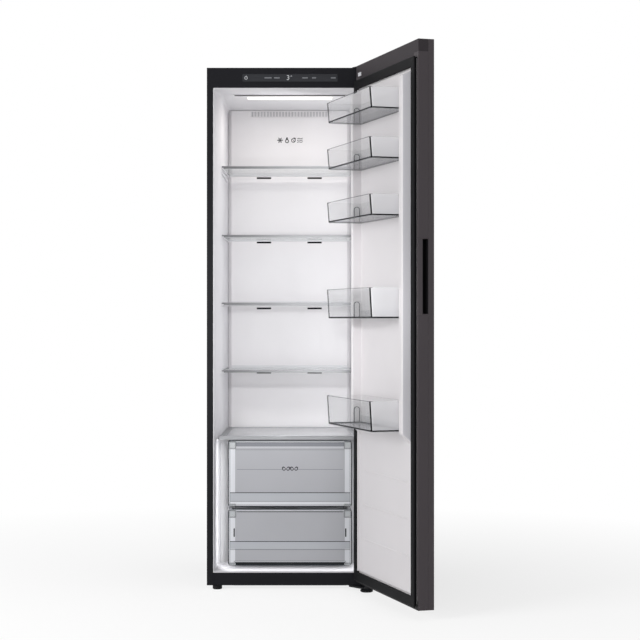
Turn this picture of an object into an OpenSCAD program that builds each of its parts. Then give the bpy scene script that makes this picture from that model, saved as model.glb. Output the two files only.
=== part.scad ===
// Single-door built-in refrigerator with its door open.
// X runs along the width, Y from the front plane of the cabinet to its back, Z up.
// The origin lies on the underside of the base, at the middle of its front edge.

/* [Cabinet] */
// Outside width of the cabinet and of the door
cab_w = 595; // [580:1:610]
// Depth of the cabinet behind its front plane
cab_d = 638; // [620:1:680]
// Height of the cabinet above the underside of its base
cab_h = 1852; // [1846:1:1900]
// Thickness of the outer steel sheet
sheet = 1; // [0.8:0.1:1.2]
// Width of the painted front flange at each side
flange_w = 22.5; // [20:0.5:25]
// Height of the black strip under the opening
sill_h = 45; // [42:1:50]
// Depth of the hollow front strip
sill_d = 28; // [24:1:32]
// Height of the head panel above the opening
head_h = 72; // [68:1:80]
// Depth of the head panel
head_d = 60; // [50:1:70]
// Width of the folded flange round the back edge
back_fold = 15; // [10:1:20]

/* [Liner] */
// Wall of the formed liner
liner_t = 2; // [1.5:0.1:2.5]
// Depth of the sloping mouth
mouth_d = 90; // [80:1:100]
// How far the mouth slopes in at each side
mouth_in = 21.5; // [18:0.5:24]
// How far each side wall tapers in from the mouth to the back
wall_taper = 14; // [10:0.5:16]
// Thickness of the insulated wall behind the compartment
rear_wall = 86; // [80:1:100]
// Height of the step over the machine compartment
step_h = 203; // [195:1:205]
// Thickness of the wall between the compartment floor and the machines
step_wall = 35; // [33:1:40]
// How far the floor lies above the sill
floor_up = 19; // [16:0.5:20]
// How far the ceiling lies below the head panel
ceiling_down = 9; // [7:0.5:12]
// Height of the ribs that carry the shelves
rib_h = 5; // [4:0.5:6]
// How far the ribs stand out of the wall
rib_out = 7; // [5:0.5:8]

/* [Shelves] */
// Share of the room above the drawers at which the lowest shelf lies
shelf_1_share = 0.1867; // [0.18:0.0001:0.21]
// The same for the second shelf
shelf_2_share = 0.3846; // [0.37:0.0001:0.4]
// The same for the third shelf
shelf_3_share = 0.5833; // [0.57:0.0001:0.6]
// The same for the highest shelf
shelf_4_share = 0.7845; // [0.77:0.0001:0.79]
// Thickness of the glass
glass_t = 4; // [3:0.5:5]
// Front edge of the shelves behind the front plane
shelf_front = 130; // [128:1:140]
// Gap between the shelves and the back of the compartment
shelf_rear_gap = 82; // [72:1:110]
// Gap between a shelf and the wall at the front
shelf_gap = 1.5; // [1:0.1:2]
// Height of the front trim
trim_h = 8; // [7:0.5:10]
// Depth of the front trim
trim_d = 14; // [12:0.5:20]
// Top of the shelf that covers the drawers
cover_z = 532; // [528:1:536]
// Front edge of the cover shelf
cover_front = 9; // [8:1:12]
// Height of the front trim of the cover shelf
cover_trim_h = 12; // [10:0.5:13]

/* [Drawers] */
// Gap between a drawer front and the side wall
drawer_side_gap = 29.5; // [28.5:0.5:36]
// Front face of the drawers behind the front plane
drawer_front = 10; // [8:1:14]
// Underside of the lower drawer
low_drawer_z = 69; // [67:1:72]
// Height of the lower drawer
low_drawer_h = 202; // [190:1:203]
// Gap behind the lower drawer
low_drawer_gap = 15; // [10:1:30]
// Underside of the upper drawer
up_drawer_z = 280; // [278:1:284]
// Height of the upper drawer
up_drawer_h = 237; // [225:1:238]
// Gap between the upper drawer and the back of the compartment
up_drawer_gap = 72; // [62:1:100]
// Wall of the drawers
drawer_t = 2.6; // [2:0.1:3]
// Width of the rim that runs on a ledge
drawer_rim = 11; // [9:0.5:12]
// Running gap between a rim and its ledge
run_gap = 0.4; // [0.3:0.1:0.6]
// Gap between a drawer and the guide panel beside it
guide_gap = 2.5; // [2:0.1:3]
// Wall of the guide panels
guide_t = 2.5; // [2:0.1:3]
// Depth over which a guide panel slopes out of the side wall
guide_slope = 80; // [70:1:90]

/* [Door] */
// Angle of the open door
door_open = 106.8; // [0:0.1:115]
// Gap between the cabinet front and the inner plane of the door
door_gap = 15; // [15:0.5:18]
// Thickness of the door behind its inner plane
door_t = 54; // [50:1:58]
// Underside of the door above the underside of the base
door_z = 20; // [18:1:24]
// How far the door stops below the top of the cabinet
door_top_gap = 2; // [1.5:0.5:4]
// Depth of the folded front panel of the door
skin_d = 20; // [16:1:24]
// Height of the cap at the top of the door
cap_h = 40; // [36:1:44]
// Height of the cap at the foot of the door
foot_cap_h = 30; // [28:1:34]
// Wall of the edge profiles and caps
edge_t = 2; // [1.5:0.1:2.5]
// Width of the rims that carry the gasket
rim_w = 42; // [40:1:46]
// Pivot in from the side of the cabinet
pivot_in = 20; // [19:0.5:22]
// Pivot in front of the cabinet
pivot_out = 53; // [52:0.5:56]
// Radius of the hinge pins
pin_r = 4; // [3.5:0.1:4.5]
// Radial running clearance of the pins
pin_clear = 0.05; // [0.03:0.01:0.08]
// Underside of the grip pocket
grip_z = 969; // [940:1:1000]
// Height of the grip pocket
grip_h = 241; // [200:1:260]
// Depth of the grip pocket into the edge
grip_d = 30; // [24:1:34]

/* [Door liner] */
// Height of the flat liner above the inner plane
pan_w = 6; // [5:0.5:8]
// Height of the upright ledges above the inner plane
dike_w = 40; // [36:1:42]
// Foot of the ledge at the hinge side, from the edge of the door
dike_out = 45; // [43:0.5:48]
// Inner face of the ledge at the hinge side
dike_in = 70; // [69:0.5:71]
// Inner face of the ledge at the free side, from the free edge of the door
dike_free_in = 75; // [73:0.5:76]
// Lower end of the ledges
dike_low = 583; // [560:1:584]
// Width of the gasket
gasket_w = 28; // [26:0.5:29]
// Height of the gasket above the inner plane
gasket_face = 13; // [11:0.5:13]
// Distance of the gasket from the edge of the door
gasket_edge = 8; // [7:0.5:9]
// Underside of the gasket's lower run
gasket_low = 30; // [28:1:34]
// Height of the lug that a bin hangs on
lug_h = 46; // [40:1:50]
// Width of the lug
lug_w = 16; // [12:0.5:18]
// Height of the lug above its ledge
lug_out = 4.2; // [3:0.1:4.3]

/* [Door bins] */
// Share of the height of the ledges at which the lowest bin hangs
bin_1_share = 0.0042; // [0.004:0.0001:0.02]
// The same for the second bin
bin_2_share = 0.3155; // [0.3:0.0001:0.33]
// The same for the third bin
bin_3_share = 0.5971; // [0.58:0.0001:0.61]
// The same for the fourth bin
bin_4_share = 0.754; // [0.74:0.001:0.76]
// The same for the highest bin
bin_5_share = 0.8906; // [0.88:0.0001:0.895]
// Height of the two tall bins
tall_bin_h = 100; // [90:1:110]
// Height of the three low bins
low_bin_h = 70; // [66:1:76]
// Depth of a bin at its bottom, from the inner plane of the door
bin_foot = 132; // [120:1:134]
// Depth of a bin at its rim, from the inner plane of the door
bin_rim = 138; // [124:1:139]
// Wall of the bins
bin_t = 2.2; // [1.8:0.1:2.6]

/* [Duct and light] */
// Width of the bevel at each side of the duct cover
duct_bevel = 26; // [24:0.5:32]
// Room for the air duct behind the front face of its cover
duct_depth = 40; // [36:1:44]
// Wall of the duct cover
duct_t = 2.5; // [2:0.1:3]
// Width of an outlet slot
slot_w = 56; // [50:1:60]
// Height of an outlet slot
slot_h = 6.5; // [5:0.5:8]
// Middle of each outlet slot as a share of the cover's half width
slot_share = 0.4377; // [0.42:0.0001:0.47]
// Radius of the fan
fan_r = 52; // [45:1:54]
// Distance of the fan's axis below the head panel
fan_down = 180; // [150:1:220]
// Gap between the light housing and the side wall
lamp_side = 47.5; // [42:0.5:56]
// Front edge of the light housing
lamp_y = 94; // [91:1:100]
// Width of the light housing beside the lens
lens_side = 49; // [44:1:60]
// Depth of the lens
lens_d = 67; // [60:1:75]

/* [Machine compartment] */
// Depth of the machine compartment from the back
machine_d = 243; // [236:1:245]
// Height of the machine compartment
machine_h = 232; // [226:1:234]
// Radius of the compressor
comp_r = 72; // [62:1:75]
// Height of the compressor's shell
comp_h = 150; // [130:1:160]
// Underside of the evaporator below the fan's axis
evap_down = 550; // [530:1:570]
// Room between the condenser and the compressor's axis
cond_side = 140; // [125:1:150]
// Middle of the condenser's front row behind the front of the machine compartment
cond_in = 60; // [50:1:70]
// Radius of the rear rollers
roller_r = 20; // [18:0.5:20]
// Width of the rear rollers
roller_w = 22; // [18:0.5:24]
// How far the feet and rollers reach below the base
foot_down = 14; // [13.5:0.5:18]

/* [Hidden] */
$fn = 48;
eps = 0.01;

hw = cab_w / 2;
in_hw = hw - sheet;
liner_d = cab_d - rear_wall;
machine_y = cab_d - machine_d;
floor_d = machine_y - step_wall;
open_hw = hw - flange_w;
mouth_hw = open_hw - liner_t;
wall_hw = mouth_hw - mouth_in;
back_hw = wall_hw - wall_taper;
open_top = cab_h - head_h;
floor_z = sill_h + floor_up;
step_z = floor_z + step_h;
ceil_z = open_top - liner_t - ceiling_down;
lip_t = 2;
lip_w = 8;
foam_y = sheet + lip_t;
back_in = cab_d - sheet;

// Half of the compartment's width at a depth behind the front plane
function half_at(y) = y < mouth_d ? mouth_hw - mouth_in * y / mouth_d
  : wall_hw - wall_taper * (y - mouth_d) / (liner_d - mouth_d);

room_h = open_top - cover_z;
shelf_zs = [for (s = [shelf_1_share, shelf_2_share, shelf_3_share, shelf_4_share]) cover_z + s * room_h];
shelf_top_z = shelf_zs[3];
slot_zs = [shelf_zs[0] - 21, shelf_zs[1] - 17.5, shelf_zs[2] - 9, shelf_zs[3] - 9];
shelf_back = liner_d - shelf_rear_gap;
drawer_hw = wall_hw - drawer_side_gap;
low_drawer_d = floor_d - drawer_front - low_drawer_gap;
up_drawer_d = liner_d - drawer_front - up_drawer_gap;
duct_hw = wall_hw - duct_bevel;
duct_y = liner_d - duct_depth;
slot_x = duct_hw * slot_share;
fan_z = open_top - fan_down;
lamp_hw = wall_hw - lamp_side;
lens_hw = lamp_hw - lens_side;
cover_back = duct_y - 4;
cover_hw = wall_hw + 2.5;
cover_glass_hw = half_at(cover_back - 8) - 4;

pivot_x = hw - pivot_in;
pivot_y = -pivot_out;
door_top = cab_h - door_top_gap;
door_front = -door_gap - door_t;
skin_back = door_front + skin_d;
bush_r = pin_r + 3.5;
bush_len = 20;
gasket_top = door_top - 55;
pan_u0 = rim_w;
pan_u1 = cab_w - rim_w;
pan_z0 = gasket_low + gasket_w + 6;
pan_z1 = gasket_top - gasket_w - 5;
dike_free = cab_w - dike_free_in;
dike_free_out = dike_free + (dike_in - dike_out) + 15;

bin_zs = [for (s = [bin_1_share, bin_2_share, bin_3_share, bin_4_share, bin_5_share])
  dike_low + s * (pan_z1 - dike_low)];
bin_hs = [tall_bin_h, tall_bin_h, low_bin_h, low_bin_h, low_bin_h];
bin_u0 = dike_in + lug_out + 0.8;
bin_u1 = dike_free - lug_out - 0.8;
lug_mid = 24;
lug_gap = 0.5;
chan_t = 2.4;

foot_x = 37.5 - hw;
foot_y = 11;
stem_r = 4.9;
foot_in = 6;
ledge_t = 6;
roller_x = hw - 42.5;
roller_y = cab_d - 45;
axle_r = 4;
axle_z = roller_r - foot_down;

// A prism whose outline lies in Y and Z, from x0 to x1
module xprism(pts, x0, x1) {
  translate([x0, 0, 0])
    rotate([90, 0, 90])
      linear_extrude(x1 - x0)
        polygon(pts);
}

// A prism whose outline lies in X and Y, from z0 to z1
module zprism(pts, z0, z1) {
  translate([0, 0, z0])
    linear_extrude(z1 - z0)
      polygon(pts);
}

// A block between two corners
module block(a, b) {
  translate(a)
    cube([b[0] - a[0], b[1] - a[1], b[2] - a[2]]);
}

// A block on the closed door: u from the hinge edge, w from its inner plane
module dblock(u0, u1, w0, w1, z0, z1) {
  block([hw - u1, -door_gap + w0, z0], [hw - u0, -door_gap + w1, z1]);
}

// A prism on the closed door whose outline lies across it
module dprism(pts, z0, z1) {
  zprism([for (p = pts) [hw - p[0], -door_gap + p[1]]], z0, z1);
}

// A prism on the closed door whose outline lies in w and z, from u0 to u1
module dside(pts, u0, u1) {
  xprism([for (p = pts) [-door_gap + p[0], p[1]]], hw - u1, hw - u0);
}

// Turns the closed door about its pins
module open_door() {
  translate([pivot_x, pivot_y, 0])
    rotate([0, 0, door_open])
      translate([-pivot_x, -pivot_y, 0])
        children();
}

// A flat outline with round corners
module round_rect(w, h, r) {
  union() {
    square([w - 2 * r, h], center = true);
    square([w, h - 2 * r], center = true);
    for (sx = [-1, 1])
      for (sy = [-1, 1])
        translate([sx * (w / 2 - r), sy * (h / 2 - r)])
          circle(r);
  }
}

// A plate with round corners that faces the front
module front_plate(w, h, r, y0, y1, zc) {
  translate([0, y1, zc])
    rotate([90, 0, 0])
      linear_extrude(y1 - y0)
        round_rect(w, h, r);
}

// The compartment, grown by t on every wall, from the depth y0
module compartment(t, y0) {
  mh = mouth_hw + t;
  intersection() {
    zprism([[-mh, y0], [-mh, 0], [-wall_hw - t, mouth_d], [-back_hw - t, liner_d + t],
      [back_hw + t, liner_d + t], [wall_hw + t, mouth_d], [mh, 0], [mh, y0]],
      0, cab_h);
    xprism([[y0, sill_h + liner_t - t], [0, sill_h + liner_t - t], [30, floor_z - 5 - t],
      [mouth_d, floor_z - t], [floor_d + t, floor_z - t], [floor_d + t, step_z - t],
      [liner_d + t, step_z - t], [liner_d + t, ceil_z - 3 + t], [mouth_d, ceil_z + t],
      [0, open_top - liner_t + t], [y0, open_top - liner_t + t]], -hw, hw);
  }
}

// A rib on the right wall of the compartment, from y0 to y1
module wall_rib(y0, y1, z0, z1, out) {
  zprism([[half_at(y0) - out, y0], [half_at(y1) - out, y1],
    [half_at(y1) + 0.5, y1], [half_at(y0) + 0.5, y0]], z0, z1);
}

module both_sides() {
  children();
  mirror([1, 0, 0])
    children();
}

module side_panel() {
  color("#26262b") {
    block([in_hw, 0, 0], [hw, cab_d, cab_h - sheet]);
    block([open_hw, 0, 0], [in_hw + eps, sheet, open_top]);
    block([in_hw - back_fold, cab_d - sheet, 0], [in_hw + eps, cab_d, cab_h - sheet]);
  }
}

module side_panel_right() {
  side_panel();
}

module side_panel_left() {
  mirror([1, 0, 0])
    side_panel();
}

module top_panel() {
  color("#26262b")
    difference() {
      union() {
        block([-hw, 0, cab_h - sheet], [hw, cab_d, cab_h]);
        for (i = [-2 : 2])
          block([i * 90 - 12, 140, cab_h - sheet - 1.5], [i * 90 + 12, cab_d - 120, cab_h - sheet + eps]);
      }
      for (i = [-2 : 2])
        block([i * 90 - 11, 141, cab_h - 1.5], [i * 90 + 11, cab_d - 121, cab_h + eps]);
      for (p = upper_screws)
        translate([p[0], p[1], cab_h - 5])
          cylinder(r = screw_r + 0.2, h = 10);
    }
}

module rear_panel() {
  z0 = machine_h;
  w = in_hw - back_fold - 0.5;
  pitch = (cab_h - sheet - z0 - 99) / 4;
  color("#c9ccce")
    difference() {
      block([-w, cab_d - sheet, z0], [w, cab_d, cab_h - sheet]);
      for (i = [0 : 3])
        for (s = [-1, 1])
          translate([s * w / 2, cab_d, z0 + 30 + (i + 0.5) * pitch])
            rotate([90, 0, 0])
              linear_extrude(0.5, center = true)
                difference() {
                  round_rect(w - 60, pitch - 80, 24);
                  round_rect(w - 72, pitch - 92, 18);
                }
    }
}

module base_pan() {
  color("#8f9396")
    difference() {
      union() {
        block([-in_hw, sheet + lip_t, 0], [in_hw, machine_y, 1.5]);
        for (i = [-3 : 3])
          block([i * 72 - 3, 60, 1.5 - eps], [i * 72 + 3, machine_y - 30, 4]);
        block([-in_hw, machine_y - 1.5, 0], [in_hw, machine_y, 30]);
        translate([foot_x, foot_y, 0])
          cylinder(r = 9, h = 14);
      }
      translate([foot_x, foot_y, -1])
        cylinder(r = stem_r + 0.05, h = 20);
      for (p = lower_screws)
        translate([p[0], p[1], -1])
          cylinder(r = screw_r + 0.2, h = 10);
    }
}

module base_front_panel() {
  h = sill_h - lip_w - 0.5;
  color("#26262b")
    difference() {
      union() {
        block([-open_hw, 0, 0], [open_hw, sheet, sill_h]);
        block([-open_hw, 0, 0], [open_hw, 3, h]);
        block([-open_hw, 0, h - 2], [open_hw, sill_d, h]);
        for (i = [-4 : 4])
          block([i * 55 - 1, 2, 1.8], [i * 55 + 1, sill_d, h]);
      }
      translate([foot_x, foot_y, -1])
        cylinder(r = 9.4, h = 16);
      both_sides()
        block([pivot_x - 76, -1, -1], [hw, sill_d + 1, 0.4]);
    }
}

module cabinet_foam() {
  m = sheet + 0.2;
  color("#e9dcae")
    difference() {
      xprism([[sill_d + 0.3, 4.2], [sill_d + 0.3, sill_h - lip_w - 0.3],
        [foam_y + 0.2, sill_h - lip_w - 0.3],
        [foam_y + 0.2, open_top + lip_w + 0.3], [head_d + 0.3, open_top + lip_w + 0.3],
        [head_d + 0.3, cab_h - 3], [back_in - 0.2, cab_h - 3],
        [back_in - 0.2, machine_h + 1.2], [machine_y - 1.7, machine_h + 1.2], [machine_y - 1.7, 4.2]],
        -hw + m, hw - m);
      compartment(liner_t + 0.2, -5);
      lamp_pocket(0.3);
      for (p = upper_screws)
        translate([p[0], p[1], cab_h - 14])
          cylinder(r = screw_r + 0.6, h = 20);
      for (p = lower_screws)
        translate([p[0], p[1], -1])
          cylinder(r = screw_r + 0.6, h = 14);
    }
}

// The room that the light housing takes above the ceiling
module lamp_pocket(t) {
  block([-lamp_hw - t, lamp_y - t, ceil_z - 6 - t],
    [lamp_hw + t, lamp_y + 60 + lens_d + t, ceil_z + 12 + t]);
}

module inner_liner() {
  color("#e9e7ec")
    union() {
      difference() {
        union() {
          compartment(liner_t, 0);
          block([-open_hw - lip_w, sheet, sill_h - lip_w],
            [open_hw + lip_w, sheet + lip_t, open_top + lip_w]);
        }
        compartment(0, -5);
        intersection() {
          compartment(liner_t + 1, 0);
          lamp_pocket(0.1);
        }
      }
      both_sides() {
        for (z = shelf_zs)
          wall_rib(shelf_front + 2, shelf_back - 4, z - glass_t - rib_h - 0.3, z - glass_t - 0.3, rib_out);
        for (z = shelf_zs)
          wall_rib(shelf_front + 40, shelf_back - 4, z + 1.2, z + 1.2 + rib_h, rib_out - 3);
        wall_rib(shelf_front, shelf_back - 20, shelf_top_z - 31, shelf_top_z - 26, rib_out);
        for (y = [[40, mouth_d], [mouth_d, cover_back - 8]])
          wall_rib(y[0], y[1], cover_z - cover_trim_h - 0.3 - rib_h, cover_z - cover_trim_h - 0.3, rib_out);
      }
      for (i = [-2 : 2])
        block([i * 80 - 4, mouth_d + 10, floor_z - 0.5], [i * 80 + 4, floor_d - 10, floor_z + 2.5]);
    }
}

module control_housing() {
  color("#26262b")
    difference() {
      union() {
        xprism([[0, open_top], [0, cab_h - sheet], [head_d, cab_h - sheet],
          [head_d, cab_h - sheet - 24], [14, cab_h - sheet - 24],
          [14, open_top + lip_w + 2], [sheet, open_top + lip_w + 2], [sheet, open_top]],
          -in_hw, in_hw);
        for (s = [-1, 1])
          block([s * 180 - 1, 10, open_top + lip_w + 3], [s * 180 + 1, head_d, cab_h - sheet - 20]);
      }
      block([-in_hw - 1, -1, open_top + 17.2], [in_hw + 1, 0.8, open_top + 18.4]);
      front_plate(340.6, 27.1, 2.3, -1, 2.4, open_top + 36);
      block([-150, 2, open_top + 26], [150, 8, open_top + 46]);
      for (p = upper_screws)
        translate([p[0], p[1], cab_h - 14])
          cylinder(r = screw_r + 0.2, h = 20);
    }
}

module display_window() {
  color("#3e3f42")
    front_plate(340, 26.5, 2, 0.1, 2.1, open_top + 36);
}

module lamp_housing() {
  y1 = lamp_y + 55 + lens_d;
  color("#d9d9dc")
    difference() {
      union() {
        block([-lamp_hw, lamp_y, ceil_z - 1.7], [lamp_hw, y1, ceil_z + 9]);
        block([-lamp_hw - 5, lamp_y - 3, ceil_z - 1.7], [lamp_hw + 5, y1, ceil_z - 0.9]);
      }
      block([-lamp_hw + 2, lamp_y + 2, ceil_z - 4], [lamp_hw - 2, lamp_y + 28, ceil_z + 7]);
      block([-lens_hw - 0.3, lamp_y + 50 - 0.3, ceil_z - 4],
        [lens_hw + 0.3, lamp_y + 50 + lens_d + 0.3, ceil_z + 7]);
    }
}

module lamp_lens() {
  color("white")
    difference() {
      block([-lens_hw, lamp_y + 50, ceil_z - 2.6], [lens_hw, lamp_y + 50 + lens_d, ceil_z + 6.7]);
      block([-lens_hw + 2, lamp_y + 52, ceil_z - 0.6], [lens_hw - 2, lamp_y + 48 + lens_d, ceil_z + 7]);
    }
}

module duct_cover() {
  z0 = step_z + 0.3;
  z1 = ceil_z - 4;
  s = half_at(duct_y + 30) - 0.3;
  color("#e6e3e6")
    difference() {
      zprism([[-s, duct_y + 14], [-s, duct_y + 11], [-duct_hw, duct_y], [duct_hw, duct_y],
        [s, duct_y + 11], [s, duct_y + 14], [s, duct_y + 30], [s - duct_t, duct_y + 30],
        [s - duct_t, duct_y + 12], [duct_hw - 1, duct_y + duct_t], [1 - duct_hw, duct_y + duct_t],
        [duct_t - s, duct_y + 12], [duct_t - s, duct_y + 30], [-s, duct_y + 30]], z0, z1);
      for (z = slot_zs)
        for (sx = [-1, 1])
          block([sx * slot_x - slot_w / 2, duct_y - 1, z - slot_h / 2],
            [sx * slot_x + slot_w / 2, duct_y + duct_t + 1, z + slot_h / 2]);
      for (i = [-12 : 12])
        block([i * 12 - 3.5, duct_y - 1, z1 - 23], [i * 12 + 3.5, duct_y + duct_t + 1, z1 - 4]);
      block([-157, duct_y - 1, z1 - 26], [157, duct_y + 1, z1 + 1]);
    }
}

module evaporator() {
  y = duct_y + 21;
  z = fan_z - evap_down;
  color("#c4c8cb")
    union() {
      for (i = [0 : 11])
        block([-165 + i * 30 - 0.6, y - 11, z], [-165 + i * 30 + 0.6, y + 11, z + 150]);
      for (j = [0 : 4])
        translate([-180, y, z + 15 + j * 30])
          rotate([0, 90, 0])
            cylinder(r = 4, h = 360);
      for (j = [0 : 3])
        translate([(j % 2 == 0 ? 1 : -1) * 180, y, z + 30 + j * 30])
          rotate([90, 0, 0])
            intersection() {
              rotate_extrude()
                translate([15, 0])
                  circle(4);
              translate([j % 2 == 0 ? 0 : -30, -30, -5])
                cube([30, 60, 10]);
            }
      block([-194, y + 11, z + 60], [194, liner_d - 0.2, z + 66]);
      block([-165, y + 3.5, z + 58], [165, y + 12, z + 68]);
    }
}

module fan_ring(r) {
  difference() {
    round_rect(2 * r + 12, 2 * r + 12, 10);
    circle(r);
  }
}

module fan_shroud() {
  y0 = duct_y + duct_t + 5;
  y1 = liner_d - 0.2;
  plate = 2.8;
  r = fan_r + 1.5;
  color("#d4d4d6")
    translate([0, y1, fan_z])
      rotate([90, 0, 0])
        union() {
          linear_extrude(plate)
            union() {
              fan_ring(r);
              circle(18);
              for (a = [90, 210, 330])
                rotate(a)
                  translate([0, -3])
                    square([r + 2, 6]);
            }
          translate([0, 0, plate])
            linear_extrude(y1 - y0 - plate)
              fan_ring(r);
          cylinder(r = 2, h = 24);
        }
}

module fan_rotor() {
  y0 = liner_d - 4;
  depth = 18;
  color("#8f9396")
    difference() {
      union() {
        translate([0, y0, fan_z])
          rotate([90, 0, 0])
            cylinder(r = 17, h = depth);
        intersection() {
          for (i = [0 : 6])
            translate([0, y0 - depth / 2, fan_z])
              rotate([0, i * 360 / 7, 0])
                rotate([0, 0, 35])
                  block([-0.8, -9, 12], [0.8, 9, fan_r]);
          translate([0, y0 - 0.5, fan_z])
            rotate([90, 0, 0])
              cylinder(r = fan_r, h = depth - 1);
        }
      }
      translate([0, y0 + 1, fan_z])
        rotate([90, 0, 0])
          cylinder(r = 2 + pin_clear, h = depth + 8);
      translate([0, y0 + 1, fan_z])
        rotate([90, 0, 0])
          difference() {
            cylinder(r = 15, h = depth - 2);
            cylinder(r = 5, h = depth + 2);
          }
    }
}

// The outline of a shelf in plan, drawn in by a gap from each wall
module shelf_plan(y0, y1, gap, z0, z1) {
  zprism([[half_at(y0) - gap, y0], [half_at(y1) - gap, y1],
    [-half_at(y1) + gap, y1], [-half_at(y0) + gap, y0]], z0, z1);
}

module shelf_glass(z) {
  color("#cfe0dc", 0.5)
    shelf_plan(shelf_front + 4, shelf_back - 4, shelf_gap + 1, z - glass_t, z);
}

module shelf_trims(z) {
  color("#d8d8dc")
    difference() {
      union() {
        shelf_plan(shelf_front, shelf_front + trim_d, shelf_gap + rib_out, z - trim_h, z + 1);
        shelf_plan(shelf_front, shelf_front + trim_d, shelf_gap, z - glass_t, z + 1);
        shelf_plan(shelf_back - trim_d, shelf_back, shelf_gap + rib_out, z - trim_h + 1, z + 1);
        block([-half_at(shelf_back) + 16, shelf_back - 3, z],
          [half_at(shelf_back) - 16, shelf_back, z + 9]);
      }
      shelf_plan(shelf_front + 4 - 0.1, shelf_back - 4 + 0.1, -1, z - glass_t - 0.1, z + 0.1);
    }
}

module cover_shelf_glass() {
  color("#cfe0dc", 0.5)
    block([-cover_glass_hw, cover_front + 8, cover_z - glass_t], [cover_glass_hw, cover_back - 8, cover_z]);
}

module cover_shelf_trims() {
  y1 = cover_back;
  g = cover_glass_hw + 0.2;
  color("#d8d8dc")
    difference() {
      union() {
        block([-cover_hw, cover_front, cover_z - cover_trim_h], [cover_hw, cover_front + 16, cover_z + 1]);
        zprism([[-cover_hw, cover_front + 4], [-half_at(mouth_d) + 2, mouth_d], [-half_at(y1) + 2, y1],
          [half_at(y1) - 2, y1], [half_at(mouth_d) - 2, mouth_d], [cover_hw, cover_front + 4]],
          cover_z - cover_trim_h, cover_z + 1);
      }
      block([-g, cover_front + 7.8, cover_z - glass_t - 0.2], [g, y1 - 7.8, cover_z + 2]);
      block([12 - g, cover_front + 20, cover_z - 30], [g - 12, y1 - 18, cover_z + 2]);
    }
}

// A moulded panel that slopes out of the right wall and runs back beside the drawers
module guide_panel(z0, z1, y1) {
  x = drawer_hw + guide_gap;
  ya = mouth_d + 2;
  yb = ya + guide_slope;
  zprism([[half_at(ya) - 0.3, ya], [x, yb], [x, y1], [half_at(y1) - 0.3, y1],
    [half_at(y1) - 0.3, y1 - guide_t], [x + guide_t, y1 - guide_t], [x + guide_t, yb + 1],
    [half_at(ya + 5) - 0.3, ya + 5]], z0, z1);
}

// A ledge on a guide panel whose top carries a drawer's rim
module ledge(top, y1) {
  x0 = drawer_hw - drawer_rim + 3.5;
  block([x0, mouth_d + 4 + guide_slope, top - ledge_t], [drawer_hw + guide_gap + eps, y1, top]);
}

module drawer_rails() {
  color("#e3e2e6")
    both_sides() {
      guide_panel(floor_z + 0.3, step_z + 1, floor_d - 5);
      guide_panel(step_z + 0.3, cover_z - cover_trim_h - rib_h - 1.1, shelf_back + 20);
      ledge(up_drawer_z + up_drawer_h - 9 - run_gap, drawer_front + up_drawer_d - 2);
      ledge(low_drawer_z + low_drawer_h - 9 - run_gap, drawer_front + low_drawer_d - 2);
    }
}

// A tub with a framed clear front, drawn-in sides and a rim along each side
module drawer(z, h, d, label_h) {
  y0 = drawer_front;
  y1 = y0 + d;
  bx = drawer_hw - drawer_rim;
  t = drawer_t;
  difference() {
    union() {
      front_plate(2 * drawer_hw, h, 10, y0, y0 + 4, z + h / 2);
      intersection() {
        xprism([[y0 + 3, z + 2], [y1 - 16, z + 2], [y1, z + h - 4], [y0 + 3, z + h - 4]], -bx, bx);
        zprism([[-bx, y0], [-bx, y0 + 30], [-bx + 4, y1 + 1], [bx - 4, y1 + 1], [bx, y0 + 30], [bx, y0]],
          z, z + h);
      }
      block([-drawer_hw, y0 + 3, z + h - 9], [drawer_hw, y1 - 4, z + h - 5]);
    }
    intersection() {
      xprism([[y0 + 3 + t, z + 2 + t], [y1 - 16 - t, z + 2 + t],
        [y1 - t, z + h + 1], [y0 + 3 + t, z + h + 1]], -bx + t, bx - t);
      zprism([[-bx + t, y0], [-bx + t, y0 + 30], [-bx + 4 + t, y1 - t], [bx - 4 - t, y1 - t],
        [bx - t, y0 + 30], [bx - t, y0]], z, z + h + 2);
    }
    front_plate(2 * drawer_hw - 24, h - label_h, 6, y0 - 1, y0 + 1.4, z + h / 2 + label_h / 2 - 14);
    block([-bx + 14, y0 - 1, z + h - 8], [bx - 14, y0 + 2.6, z + h + 1]);
    for (s = [-1, 1])
      block([s * (drawer_hw - 21) - 1.6, y0 - 1, z + h / 2],
        [s * (drawer_hw - 21) + 1.6, y0 + 2, z + h / 2 + 30]);
  }
}

module drawer_upper() {
  color("#b3b7bb", 0.6)
    drawer(up_drawer_z, up_drawer_h, up_drawer_d, 92);
}

module drawer_lower() {
  color("#b3b7bb", 0.6)
    drawer(low_drawer_z, low_drawer_h, low_drawer_d, 104);
}

comp_x = in_hw - 176.5;
comp_y = machine_y + machine_d / 2 - 4;
plate_t = 2;
mount_h = 12;
module compressor() {
  z = plate_t + mount_h;
  translate([comp_x, comp_y, z])
    color("#1c1c1e")
      difference() {
        union() {
          rotate_extrude()
            polygon([[0, 6], [comp_r * 0.6, 6], [comp_r * 0.85, 14], [comp_r * 0.97, 30], [comp_r, 50],
              [comp_r, comp_h * 0.55], [comp_r + 5, comp_h * 0.55], [comp_r + 5, comp_h * 0.58],
              [comp_r, comp_h * 0.58], [comp_r * 0.97, comp_h * 0.75], [comp_r * 0.85, comp_h * 0.9],
              [comp_r * 0.6, comp_h * 0.98], [0, comp_h]]);
          for (s = [-1, 1])
            block([s * 70 - 20, -62, 0], [s * 70 + 20, 62, 3]);
          block([-75, -36, 0], [75, 36, 7]);
          block([-24, -comp_r - 14, 50], [24, -comp_r * 0.8, 100]);
          translate([comp_r * 0.8, 30, 70])
            rotate([0, 90, 0])
              cylinder(r = 4, h = 40);
        }
        for (sx = [-1, 1])
          for (sy = [-1, 1])
            translate([sx * 70, sy * 50, -1])
              cylinder(r = 8.3, h = 6);
      }
}

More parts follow.
